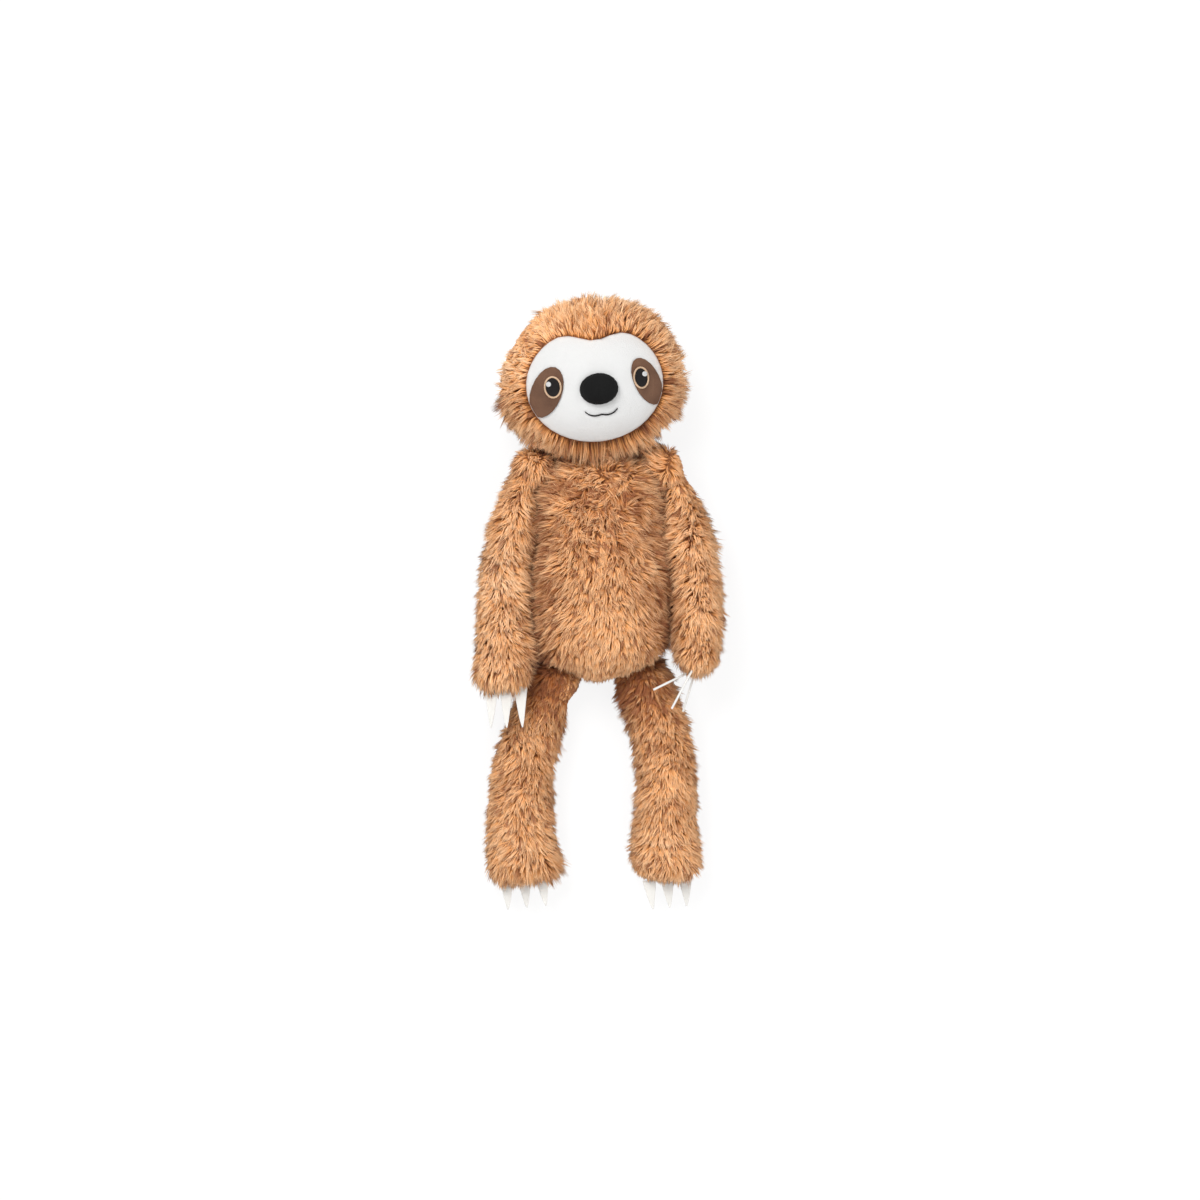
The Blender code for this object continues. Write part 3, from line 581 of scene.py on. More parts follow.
@dataclass(frozen=True)
class PileSizes:
    """The make-up of the pile, from the single strand to the clump and the tuft."""

    strands_per_area: float = 950000.0
    back_share: float = 0.60
    back_facing: float = -1.0
    length: float = 0.0124
    length_spread: float = 0.24
    width: float = 0.00092
    width_spread: float = 0.3
    root_depth: float = 0.0008
    root_lift: float = math.radians(54)
    tip_lift: float = math.radians(27)
    lift_spread: float = math.radians(8)
    lift_span: Span = (0.05, math.radians(104))
    bend_at: float = 0.45
    strand_turn: float = math.radians(9)
    clump_spacing: float = 0.0027
    clump_gather: float = 0.40
    clump_gather_span: Span = (0.7, 1.25)
    middle_ease: float = 3.0
    clump_turn: float = math.radians(15)
    clump_length_spread: float = 0.14
    tuft_spacing: float = 0.0115
    tuft_turn: float = math.radians(13)
    tuft_lift: float = math.radians(7)
    tuft_length_spread: float = 0.09
    swirl_turn: float = math.radians(18)
    swirl_size: float = 0.06
    spread_cap: float = 1.6
    skin_light: float = 0.56
    table_clearance: float = 0.0006
    middle_clearances: float = 2.0
    tip_clearances: Span = (1.0, 3.0)
    tones: PileTones = PileTones()

    def mane(self) -> "PileSizes":
        """The pile as it is on the head: longer, flatter, and in wider clumps.

        Returns:
            The head's make-up.
        """
        return replace(
            self,
            length=0.0150,
            root_lift=math.radians(44),
            tip_lift=math.radians(15),
            clump_spacing=0.0036,
            clump_gather=0.50,
        )


@dataclass(frozen=True)
class Stroke:
    """One stroke of the brush: what it changes round a place, less and less with the distance from it."""

    at: tuple[float, float]
    reach: float
    run: Triple = (0.0, 0.0, 0.0)
    length: float = 0.0
    lift: float = 0.0
    # A stroke's tone paints light and shade on the pile: below 0 is painted shade, above 0 is painted light.
    tone: float = 0.0
    ruffle: float = 0.0

    def weight(self, points: np.ndarray) -> np.ndarray:
        """How much each root feels the stroke, from 0 to 1."""
        away = np.linalg.norm(points[:, :2] - np.array(self.at), axis=1)
        return np.exp(-((away / self.reach) ** 2))


@dataclass
class Lay:
    """How the pile of a part is brushed: the main direction, the part's ends and sides, and single strokes.

    A part's outer side is the one that faces the way that outer gives, 1 for X and -1 for against it.
    """

    run: Triple = (0.0, -1.0, 0.0)
    spread: float = 0.35
    top_trim: float = 0.0
    end_trim: float = 0.0
    end_from: float = 0.5
    side_trim: float = 0.22
    inner_trim: float = 0.0
    outer: float = 0.0
    side_lift: float = math.radians(10)
    # Painted shade: the pile is darker where it faces sideways, and darker on its inner side next to the
    # body.
    side_painted_shade: float = 0.0
    inner_painted_shade: float = 0.0
    least: float = 0.25
    strokes: tuple[Stroke, ...] = ()

    def felt(self, points: np.ndarray, what: str) -> np.ndarray:
        """What the strokes add up to at each root.

        Args:
            points: The roots.
            what: The stroke's field to add up.

        Returns:
            One value or direction a root.
        """
        first = getattr(Stroke((0, 0), 1), what)
        total = np.zeros((len(points), len(first) if isinstance(first, tuple) else 1))
        for stroke in self.strokes:
            total += stroke.weight(points)[:, None] * np.array(getattr(stroke, what))
        return total if isinstance(first, tuple) else total[:, 0]

    def sides(self, normals: np.ndarray) -> tuple[np.ndarray, np.ndarray]:
        """How far each root faces the part's outer side, and its inner side."""
        facing = normals[:, 0] * self.outer
        return np.clip(facing, 0, 1) ** 2, np.clip(-facing, 0, 1) ** 2

    def comb(self, points: np.ndarray, normals: np.ndarray) -> np.ndarray:
        """The brushed direction at each root."""
        side = normals * np.array((self.spread, 0.0, 0.0))
        return unit(np.array(self.run) + side + self.felt(points, "run"))

    def lift(self, points: np.ndarray, normals: np.ndarray) -> np.ndarray:
        """How much more upright the pile stands at each root."""
        return self.side_lift * normals[:, 0] ** 2 + self.felt(points, "lift")

    def length(self, points: np.ndarray, normals: np.ndarray) -> np.ndarray:
        """The share of the full length at each root.

        Args:
            points: The roots.
            normals: The outward directions there.

        Returns:
            One share a root.
        """
        top, end = (
            np.clip((normals[:, 1] * way - self.end_from) / (1 - self.end_from), 0, 1) for way in (1, -1)
        )
        outer, inner = self.sides(normals)
        trim = self.top_trim * top + self.end_trim * end + self.side_trim * outer + self.inner_trim * inner
        return np.maximum(1 - trim + self.felt(points, "length"), self.least)

    def tone(self, points: np.ndarray, normals: np.ndarray) -> np.ndarray:
        """The painted light and shade at each root: painted shade on the sides and the inner side, and the
        strokes' painted light and shade.
        """
        inner = self.sides(normals)[1]
        return self.side_painted_shade * normals[:, 0] ** 2 + self.inner_painted_shade * inner + self.felt(points, "tone")

    def keeps(self, points: np.ndarray) -> np.ndarray:
        """Where pile grows."""
        return np.ones(len(points), bool)


@dataclass
class FaceLay(Lay):
    """Pile that is brushed outwards round the face, and down the back of the head."""

    panel: Piece | None = None
    under: float = 0.06
    near: float = 0.004
    rim_lift: float = math.radians(58)
    front_from: float = 0.25
    backward: Triple = (0.0, -0.35, -0.75)
    rear_spread: float = 0.4

    def __post_init__(self) -> None:
        """Measure the face that the pile goes round."""
        points = Bench.points(self.panel)
        self.centre = (points.min(0) + points.max(0)) / 2
        self.solid = Bench.solid(self.panel)

    def comb(self, points: np.ndarray, normals: np.ndarray) -> np.ndarray:
        """Outwards from the face at the front, down at the back.

        Args:
            points: The roots.
            normals: The outward directions there.

        Returns:
            One direction a root.
        """
        outward = unit((points - self.centre) * np.array((1.0, 1.0, 0.0)))
        depth = normals[:, 2:3]
        front = np.clip((depth + self.front_from) / (2 * self.front_from), 0, 1)
        over = outward + np.array(self.backward) * (1 - np.abs(depth)) + self.felt(points, "run")
        rear = unit(np.array(self.run) + outward * self.rear_spread)
        return unit(front * over + (1 - front) * rear)

    def lift(self, points: np.ndarray, normals: np.ndarray) -> np.ndarray:
        """The pile stands up in a rim along the face's edge."""
        away = np.array([self.solid.find_nearest(point)[3] for point in points.tolist()])
        return super().lift(points, normals) + self.rim_lift * np.exp(-((away / self.near) ** 2))

    def keeps(self, points: np.ndarray) -> np.ndarray:
        """No pile grows under the face panel.

        Args:
            points: The roots.

        Returns:
            True for each root that stays.
        """
        lower = points - np.array((0.0, 0.0, self.under))
        up = (0.0, 0.0, 1.0)
        front = points[:, 2] > self.centre[2] - self.under / 2
        covered = [self.solid.ray_cast(point, up)[0] is not None for point in lower.tolist()]
        return ~(np.array(covered) & front)


class Pile:
    """The strands of one part's pile, grown on its backing cloth."""

    uv_name = "OFBake"
    swirl_field, tone_field, dark_field = 1, 2, 3
    sides = 3
    ring_widths = (0.8, 1.0)
    corner_cut = 0.02
    cell_margin = 0.1
    # The corners of a strand's faces: its closed root, its three walls, and the three sides of its tip.
    faces = ((2, 1, 0), (0, 1, 4, 3), (1, 2, 5, 4), (2, 0, 3, 5), (3, 4, 6), (4, 5, 6), (5, 3, 6))

    def __init__(self, backing: Piece, lay: Lay, sizes: PileSizes, seed: int) -> None:
        """Grow the strands.

        Args:
            backing: The closed backing cloth.
            lay: Which way the pile is brushed.
            sizes: The pile's make-up.
            seed: Which pile it is, so that no two parts match.
        """
        self.sizes = sizes
        self.lay = lay
        self.seed = seed
        self.dice = np.random.default_rng(seed)
        self.roots, self.normals = self.scatter(backing)
        self.count = len(self.roots)
        self.clumps, self.leaders = self.gather(sizes.clump_spacing)
        self.tufts, tuft_leaders = self.gather(sizes.tuft_spacing)
        self.tuft_count = len(tuft_leaders)
        self.shape()
        self.tint()

    def scatter(self, backing: Piece) -> tuple[np.ndarray, np.ndarray]:
        """Place the roots evenly over the backing cloth, fewer on its back.

        Args:
            backing: The closed backing cloth.

        Returns:
            The roots and the outward directions there.
        """
        mesh, sizes = backing.data, self.sizes
        mesh.calc_loop_triangles()
        corners = np.empty(len(mesh.loop_triangles) * 3, np.int32)
        mesh.loop_triangles.foreach_get("vertices", corners)
        corners = corners.reshape(-1, 3)
        points, normals = Bench.points(backing), Bench.normals(backing)
        first, second, third = (points[corners[:, i]] for i in range(3))
        areas = np.linalg.norm(np.cross(second - first, third - first), axis=1) / 2
        self.area = areas.sum()
        facing = (normals[corners].sum(1)[:, 2] > sizes.back_facing).astype(float)
        weights = areas * (sizes.back_share + (1 - sizes.back_share) * facing)
        count = int(weights.sum() * sizes.strands_per_area)
        chosen = self.dice.choice(len(areas), count, p=weights / weights.sum())
        reach = np.sqrt(self.dice.random(count))
        turn = self.dice.random(count)
        shares = np.stack((1 - reach, reach * (1 - turn), reach * turn), 1)[:, :, None]
        roots = (points[corners[chosen]] * shares).sum(1)
        outward = unit((normals[corners[chosen]] * shares).sum(1))
        kept = self.lay.keeps(roots)
        return roots[kept], outward[kept]

    def gather(self, spacing: float) -> tuple[np.ndarray, np.ndarray]:
        """Gather the strands into clumps or tufts, each round a strand that leads it.

        Args:
            spacing: How far apart they are.

        Returns:
            The clump that each strand joins, and each clump's leading strand.
        """
        count = max(1, int(self.area / spacing**2))
        leaders = self.dice.choice(self.count, count, replace=False)
        tree = KDTree(count)
        for index, leader in enumerate(leaders):
            tree.insert(self.roots[leader], index)
        tree.balance()
        return np.array([tree.find(root)[1] for root in self.roots]), leaders

    def varied(self, spread: float, count: int) -> np.ndarray:
        """Random values about 0, as large as the spread for the most part, and none of them far out."""
        cap = self.sizes.spread_cap
        return np.clip(self.dice.normal(0, 1, count), -cap, cap) * spread

    def by_clump(self, spread: float) -> np.ndarray:
        """Random values about 0, the same for all strands of a clump."""
        return self.varied(spread, len(self.leaders))[self.clumps]

    def by_tuft(self, spread: float) -> np.ndarray:
        """Random values about 0, the same for all strands of a tuft."""
        return self.varied(spread, self.tuft_count)[self.tufts]

    def shape(self) -> None:
        """Bend every strand: its root, its middle and its tip."""
        sizes, dice, count = self.sizes, self.dice, self.count
        comb = self.lay.comb(self.roots, self.normals)
        along = comb - self.normals * (comb * self.normals).sum(1, keepdims=True)
        across = np.cross(self.normals, along)
        swirl = SmoothField(sizes.swirl_size, self.seed + self.swirl_field).at(self.roots) * sizes.swirl_turn
        ruffle = 1 + self.lay.felt(self.roots, "ruffle")
        turn = swirl + self.by_clump(sizes.clump_turn) * ruffle
        turn = turn + self.by_tuft(sizes.tuft_turn) * ruffle
        turn = (turn + self.varied(sizes.strand_turn, count))[:, None]
        lean = along * np.cos(turn) + across * np.sin(turn)

        lift = self.by_clump(sizes.lift_spread)
        lift = lift + self.by_tuft(sizes.tuft_lift) * ruffle
        lift = lift + self.varied(sizes.lift_spread, count) + self.lay.lift(self.roots, self.normals)
        first = self.lifted(lean, lift + sizes.root_lift)
        second = self.lifted(lean, lift + sizes.tip_lift)
        length = sizes.length * (1 + self.by_clump(sizes.clump_length_spread))
        length = length * (1 + self.by_tuft(sizes.tuft_length_spread))
        length = length * (1 + dice.uniform(-1, 1, count) * sizes.length_spread)
        length = (length * self.lay.length(self.roots, self.normals))[:, None]

        start = self.roots - self.normals * sizes.root_depth
        middle = start + first * length * sizes.bend_at
        tip = middle + second * length * (1 - sizes.bend_at)
        lead = self.leaders[self.clumps]
        pull = (sizes.clump_gather * dice.uniform(*sizes.clump_gather_span, count))[:, None]
        tip = tip * (1 - pull) + tip[lead] * pull
        ease = sizes.middle_ease
        middle = middle * (1 - pull / ease) + middle[lead] * pull / ease
        middle[:, 2] = np.maximum(middle[:, 2], sizes.table_clearance * sizes.middle_clearances)
        clearances = dice.uniform(*sizes.tip_clearances, count)
        tip[:, 2] = np.maximum(tip[:, 2], sizes.table_clearance * clearances)
        self.lines = np.stack((start, middle, tip), 1)
        self.widths = sizes.width * (1 + dice.uniform(-1, 1, count) * sizes.width_spread)

    def lifted(self, lean: np.ndarray, lift: np.ndarray) -> np.ndarray:
        """Each strand's direction, at an angle above the brushed one."""
        lift = np.clip(lift, *self.sizes.lift_span)[:, None]
        return unit(lean * np.cos(lift) + self.normals * np.sin(lift))

    def tint(self) -> None:
        """Choose each strand's tone, with the lay's painted light and shade, and the dark fibres, with more
        dark clumps in the painted shade.
        """
        tones, dice, count = self.sizes.tones, self.dice, self.count
        area = SmoothField(tones.area_size, self.seed + self.tone_field).at(self.roots) * tones.area_spread
        painted_light_and_shade = self.lay.tone(self.roots, self.normals)
        chosen = tones.usual + area + painted_light_and_shade + self.by_clump(tones.clump_spread)
        chosen = chosen + self.by_tuft(tones.tuft_spread) + self.varied(tones.strand_spread, count)
        # Tones above 1, the paler strands, come only from painted light.
        self.tones = np.clip(chosen, 0, 1 + np.clip(painted_light_and_shade, 0, tones.painted_light_reach))

        dark_area = SmoothField(tones.dark_area_size, self.seed + self.dark_field).at(self.roots)
        where = np.clip(1 + dark_area, *tones.dark_area_span)
        # More dark clumps where the lay paints shade: dark fibres as painted shade.
        shade = np.clip(-painted_light_and_shade[self.leaders], 0, 1)
        clump_share = tones.dark_clump_share * (1 + tones.dark_clumps_in_shade * shade)
        dark = (dice.random(len(self.leaders)) < clump_share)[self.clumps]
        dark = dark | (dice.random(count) < tones.dark_strand_share * where)
        self.streaks = dark * dice.uniform(*tones.darkness, count)

    def piece(self, name: str, chosen: np.ndarray) -> Piece:
        """Make one piece of some of the strands.

        Each strand is a closed three-sided blade that narrows to a point, with its own cell of the UV map.

        Args:
            name: The piece's name.
            chosen: Which strands it holds.

        Returns:
            The new piece.
        """
        lines, widths, outward = self.lines[chosen], self.widths[chosen], self.normals[chosen]
        count = len(lines)
        aside = unit(np.cross(lines[:, 2] - lines[:, 0], self.dice.normal(size=(count, 3))))
        above = unit(np.cross(lines[:, 2] - lines[:, 0], aside))
        points, lights = [], []
        for row, share in enumerate(self.ring_widths):
            for side in range(self.sides):
                angle = 2 * math.pi * side / self.sides
                offset = aside * math.cos(angle) + above * math.sin(angle)
                points.append(lines[:, row] + offset * (widths * share / 2)[:, None])
                lights.append(unit(outward * self.sizes.skin_light + offset * (1 - self.sizes.skin_light)))
        points.append(lines[:, 2])
        lights.append(outward)
        per_strand = len(points)

        one = np.array([corner for face in self.faces for corner in face])
        loops = (one[None, :] + np.arange(count)[:, None] * per_strand).ravel()
        sizes = np.tile([len(face) for face in self.faces], count)
        starts = np.concatenate(([0], np.cumsum(sizes)[:-1]))

        mesh = bpy.data.meshes.new(name)
        mesh.vertices.add(count * per_strand)
        mesh.vertices.foreach_set("co", np.stack(points, 1).ravel())
        mesh.loops.add(len(loops))
        mesh.loops.foreach_set("vertex_index", loops)
        mesh.polygons.add(len(sizes))
        mesh.polygons.foreach_set("loop_start", starts)
        mesh.polygons.foreach_set("use_smooth", np.ones(len(sizes), bool))
        mesh.update(calc_edges=True)
        self.lay_out(mesh, count)
        mesh.normals_split_custom_set_from_vertices(np.stack(lights, 1).reshape(-1, 3).tolist())
        carried = {
            Attribute.ALONG: np.tile([0.0] * self.sides + [self.sizes.bend_at] * self.sides + [1.0], count),
            Attribute.TONE: np.repeat(self.tones[chosen], per_strand),
            Attribute.STREAK: np.repeat(self.streaks[chosen], per_strand),
        }
        for kind, values in carried.items():
            layer = mesh.attributes.new(kind.value, "FLOAT", "POINT")
            layer.data.foreach_set("value", values.astype(np.float32))
        return Bench.add(name, mesh)

    def lay_out(self, mesh: bpy.types.Mesh, count: int) -> None:
        """Give every strand its own cell of the UV map.

        Args:
            mesh: The strands' mesh.
            count: How many strands it holds.
        """
        cut, third, bend = self.corner_cut, 1 / self.sides, self.sizes.bend_at
        base = [(0, 0), (cut, 0), (0, cut)]
        walls, tips = [], []
        for side in range(self.sides):
            left, right = side * third, (side + 1) * third
            walls += [(left, 0), (right, 0), (right, bend), (left, bend)]
            tips += [(left, bend), (right, bend), ((left + right) / 2, 1)]
        one = np.array(base + walls + tips) * (1 - 2 * self.cell_margin) + self.cell_margin
        across = math.ceil(math.sqrt(count))
        cells = np.stack((np.arange(count) % across, np.arange(count) // across), 1)
        layer = mesh.uv_layers.new(name=self.uv_name)
        places = (cells[:, None, :] + one[None, :, :]) / across
        layer.uv.foreach_set("vector", places.astype(np.float32).ravel())


class Grooming:
    """How each part's pile is brushed."""

    @staticmethod
    def torso() -> Lay:
        """Down the belly, outwards over the shoulders, tousled on the chest, trimmed at the hem, with painted
        light on the shoulders and the lower belly, painted shade along the sides by the arms, and a darker
        chest under the head that is partly its own darker pile and partly painted shade.
        """
        strokes = (
            Stroke((-0.048, 0.108), 0.024, run=(-2.0, 0.3, 0.4), length=0.50, lift=0.25, tone=0.2),
            Stroke((0.050, 0.108), 0.024, run=(2.0, 0.5, 0.4), length=0.50, lift=0.25, tone=0.2),
            Stroke((0.000, 0.112), 0.032, tone=-0.04, ruffle=1.6),
            Stroke((0.000, 0.080), 0.034, tone=-0.12, ruffle=0.8),
            Stroke((-0.026, 0.104), 0.012, run=(-1.1, 0.4, 0.0), tone=-0.48, ruffle=1.0),
            Stroke((0.024, 0.098), 0.012, run=(1.0, 0.5, 0.0), tone=-0.42, ruffle=1.0),
            Stroke((-0.004, 0.062), 0.015, run=(0.9, 0.1, 0.0), ruffle=0.8),
            Stroke((0.028, 0.058), 0.014, run=(-0.8, 0.2, 0.0), ruffle=0.6),
            Stroke((0.000, -0.030), 0.045, tone=0.08, length=-0.08, ruffle=-0.3),
            Stroke((0.060, -0.050), 0.012, length=-0.30),
            Stroke((0.058, -0.018), 0.016, run=(1.0, -0.5, 0.0), length=0.35, lift=0.25, tone=-0.3),
            Stroke((-0.054, -0.038), 0.018, run=(-1.2, -0.5, 0.0), length=0.60, lift=0.35, tone=-0.6),
            Stroke((-0.050, 0.010), 0.030, run=(-1.0, -0.5, 0.0), length=0.30, lift=0.20, tone=-0.2),
            Stroke((-0.054, 0.080), 0.034, run=(-1.0, -0.3, 0.0), length=0.45, lift=0.25, tone=-0.25),
            Stroke((0.056, 0.070), 0.034, run=(1.0, -0.3, 0.0), length=0.40, lift=0.25, tone=-0.20),
            Stroke((0.060, 0.020), 0.026, run=(1.0, -0.5, 0.0), length=0.30, lift=0.20, tone=-0.20),
            Stroke((-0.026, -0.066), 0.009, length=-0.30),
            Stroke((0.021, -0.067), 0.009, length=-0.25),
            Stroke((-0.003, -0.078), 0.012, length=0.40),
        )
        return Lay(end_trim=0.5, side_trim=0.0, side_lift=math.radians(24), side_painted_shade=-0.38, strokes=strokes)

    @staticmethod
    def head(nodes: dict) -> FaceLay:
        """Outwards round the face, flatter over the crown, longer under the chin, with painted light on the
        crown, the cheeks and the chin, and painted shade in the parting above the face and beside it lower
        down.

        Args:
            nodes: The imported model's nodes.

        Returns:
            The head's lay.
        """
        strokes = (
            Stroke((-0.080, 0.246), 0.033, length=-0.68, lift=-0.45),
            Stroke((0.072, 0.252), 0.026, length=-0.24, lift=-0.15),
            Stroke((-0.004, 0.285), 0.044, tone=0.42, length=-0.10, ruffle=0.5),
            Stroke((-0.088, 0.215), 0.034, tone=0.28),
            Stroke((0.086, 0.205), 0.034, tone=0.24),
            Stroke((-0.004, 0.244), 0.022, tone=-0.40, length=-0.06, ruffle=0.6),
            Stroke((-0.006, 0.140), 0.034, run=(0.0, -0.8, 0.0), length=0.30, tone=0.10),
            Stroke((-0.078, 0.188), 0.015, length=0.25, tone=-0.30, run=(0.0, -0.9, 0.0), ruffle=1.0),
            Stroke((-0.070, 0.210), 0.022, ruffle=1.2, tone=0.05),
            Stroke((-0.066, 0.186), 0.012, lift=0.55),
            Stroke((-0.058, 0.165), 0.012, lift=0.55),
            Stroke((0.062, 0.197), 0.012, lift=0.55),
            Stroke((0.058, 0.180), 0.012, lift=0.55),
            Stroke((-0.064, 0.158), 0.016, run=(-0.3, -0.8, 0.0), length=-0.05, ruffle=0.8),
            Stroke((0.070, 0.205), 0.022, ruffle=1.2),
            Stroke((0.072, 0.180), 0.014, tone=-0.25, run=(0.3, 0.6, 0.0), ruffle=1.0),
            Stroke((0.060, 0.160), 0.014, run=(-0.2, -1.0, 0.0), length=-0.40, lift=-0.3, ruffle=0.8),
            Stroke((0.046, 0.146), 0.013, run=(0.8, -1.4, 0.0), length=0.90, tone=-0.1),
        )
        return FaceLay(side_trim=0.0, strokes=strokes, panel=nodes["face_panel"])

    @staticmethod
    def right_arm() -> Lay:
        """Down to the paw, fuller towards the body and at the paw's end, with painted light along the arm and
        painted shade on its inner side.
        """
        strokes = (
            Stroke((-0.068, 0.100), 0.030, run=(-0.5, 0.0, 0.0), length=-0.15),
            Stroke((-0.108, -0.074), 0.014, length=0.65),
            Stroke((-0.084, -0.080), 0.018, length=0.30),
            Stroke((-0.090, 0.020), 0.090, tone=0.22),
            Stroke((-0.064, 0.080), 0.030, run=(0.8, 0.0, 0.0), length=0.40, lift=0.3),
            Stroke((-0.066, -0.036), 0.018, run=(0.8, 0.0, 0.0), length=0.40, lift=0.3),
            Stroke((-0.060, 0.020), 0.026, run=(0.8, 0.0, 0.0), length=0.25, lift=0.2),
        )
        return Lay(top_trim=0.35, outer=-1.0, side_painted_shade=-0.10, inner_painted_shade=-0.35, strokes=strokes)

    @staticmethod
    def left_arm() -> Lay:
        """Down to the paw, close over the sloping shoulder and beside the thigh, with painted light along the
        arm and painted shade on its inner side.
        """
        strokes = (
            Stroke((0.080, 0.118), 0.018, length=-0.35, lift=-0.2, run=(0.5, -0.3, 0.0)),
            Stroke((0.055, 0.131), 0.013, length=0.85, lift=0.05, run=(-0.9, 2.2, 0.0)),
            Stroke((0.078, 0.136), 0.013, length=-0.65, lift=-0.4, run=(0.6, -1.0, 0.0)),
            Stroke((0.068, -0.046), 0.014, length=-0.20, lift=-0.1),
            Stroke((0.086, -0.060), 0.010, length=0.25),
            Stroke((0.090, 0.020), 0.090, tone=0.14),
            Stroke((0.068, 0.060), 0.030, run=(-0.8, 0.0, 0.0), length=0.35, lift=0.3),
            Stroke((0.094, 0.030), 0.050, length=0.12),
        )
        return Lay(
            top_trim=0.35, side_trim=0.16, outer=1.0, side_painted_shade=-0.10, inner_painted_shade=-0.35, strokes=strokes
        )

    @staticmethod
    def right_leg() -> Lay:
        """Down to the foot, shorter where the hem lies on it, with painted shade under the hem and painted
        light on the lower leg.
        """
        strokes = (
            Stroke((-0.045, -0.070), 0.022, tone=-1.0, length=-0.35, lift=-0.2),
            Stroke((-0.056, -0.058), 0.014, run=(-0.6, 0.8, 0.0), tone=-0.5, length=0.80, lift=0.5),
            Stroke((-0.046, -0.110), 0.030, tone=-0.18),
            Stroke((-0.018, -0.080), 0.018, length=-0.65, lift=-0.4, run=(-0.7, 0.0, 0.0)),
            Stroke((-0.040, -0.240), 0.012, length=0.35, run=(0.6, 0.0, 0.0)),
            Stroke((-0.098, -0.240), 0.014, length=0.25),
            Stroke((-0.072, -0.220), 0.040, tone=0.13),
        )
        return Lay(outer=-1.0, inner_trim=0.10, side_painted_shade=-0.05, strokes=strokes)

    @staticmethod
    def left_leg() -> Lay:
        """Down to the foot, with painted shade where the hem lies on it and painted light on the lower leg.
        """
        strokes = (
            Stroke((0.036, -0.070), 0.022, tone=-1.0, length=-0.40, lift=-0.2),
            Stroke((0.018, -0.092), 0.018, length=0.60, lift=0.6, run=(-1.0, 0.4, 0.0), tone=-0.15),
            Stroke((0.044, -0.110), 0.030, tone=-0.18),
            Stroke((0.030, -0.222), 0.010, length=0.55, run=(-1.2, 0.0, 0.0)),
            Stroke((0.042, -0.246), 0.015, length=-0.42),
            Stroke((0.086, -0.240), 0.014, length=0.05),
            Stroke((0.060, -0.220), 0.040, tone=0.11),
            Stroke((0.073, -0.102), 0.014, length=0.2, lift=0.15, run=(0.5, 0.0, 0.0)),
            Stroke((0.064, -0.072), 0.012, length=0.25, lift=0.15, run=(0.5, 0.0, 0.0)),
        )
        return Lay(end_trim=0.08, outer=1.0, inner_trim=0.04, side_painted_shade=-0.05, strokes=strokes)


@dataclass(frozen=True)
class FurredPart:
    """One stuffed part: the backing cloth that holds the stuffing, and the pile on it."""

    name: str
    seed: int
    swell: float
    bands: int
    sizes: PileSizes = PileSizes()
    fineness: Fineness = Fineness(voxel=0.0025, rounds=8)
    fill: float = 0.75

    def build(self, nodes: dict, lay: Lay, cloth: Material, pile: Material) -> None:
        """Build and dress the part.

        Args:
            nodes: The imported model's nodes.
            lay: Which way its pile is brushed.
            cloth: The backing cloth's material.
            pile: The pile's material.
        """
        cover, stuffing = f"{self.name}_cover", f"{self.name}_stuffing"
        backing = Bench.rebuild(nodes[stuffing], f"{self.name}_backing_cloth", self.fineness)
        Bench.move_points(backing, Bench.points(backing) + Bench.normals(backing) * self.swell)
        Bench.hand_over(backing, cloth, Slot.PILE, self.name, cover, stuffing)

        strands = Pile(backing, lay, self.sizes, self.seed)
        front = strands.normals[:, 2] > 0
        for face, mask in (("front", front), ("back", ~front)):
            order = np.flatnonzero(mask)
            order = order[np.argsort(strands.roots[order, 1], kind="stable")]
            for band, chosen in enumerate(np.array_split(order, self.bands), start=1):
                ending = f"_{band}" if self.bands > 1 else ""
                piece = strands.piece(f"{self.name}_{face}_pile{ending}", chosen)
                Bench.hand_over(piece, pile, Slot.PILE, self.name)


@dataclass(frozen=True)
class Coat:
    """The pile on all six stuffed parts."""

    # The backing cloth is a real knit, but its dark brown is painted shade for the gaps between the strands.
    cloth: NapFinish = NapFinish(
        "backing_cloth", (0.30, 0.12, 0.045, 1.0), low=(0.17, 0.06, 0.02, 1.0), fibre_scale=500.0
    )
    pile: PileFinish = PileFinish("pile", (0.75, 0.40, 0.18, 1.0))
    limb_swell: float = 0.0026
    torso_swell: float = 0.0030
    head_swell: float = 0.0038

    def build(self, nodes: dict) -> None:
        """Build and dress the torso, the head and the limbs.

        Args:
            nodes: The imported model's nodes.
        """
        mane = PileSizes().mane()
        parts = (
            (FurredPart("torso", seed=11, swell=self.torso_swell, bands=3), Grooming.torso()),
            (FurredPart("head", seed=23, swell=self.head_swell, bands=3, sizes=mane), Grooming.head(nodes)),
            (FurredPart("right_arm", seed=37, swell=self.limb_swell, bands=2), Grooming.right_arm()),
            (FurredPart("left_arm", seed=41, swell=self.limb_swell, bands=1), Grooming.left_arm()),
            (FurredPart("right_leg", seed=53, swell=self.limb_swell, bands=2), Grooming.right_leg()),
            (FurredPart("left_leg", seed=67, swell=self.limb_swell, bands=2), Grooming.left_leg()),
        )
        cloth, pile = self.cloth.material(), self.pile.material()
        for part, lay in parts:
            part.build(nodes, lay, cloth, pile)


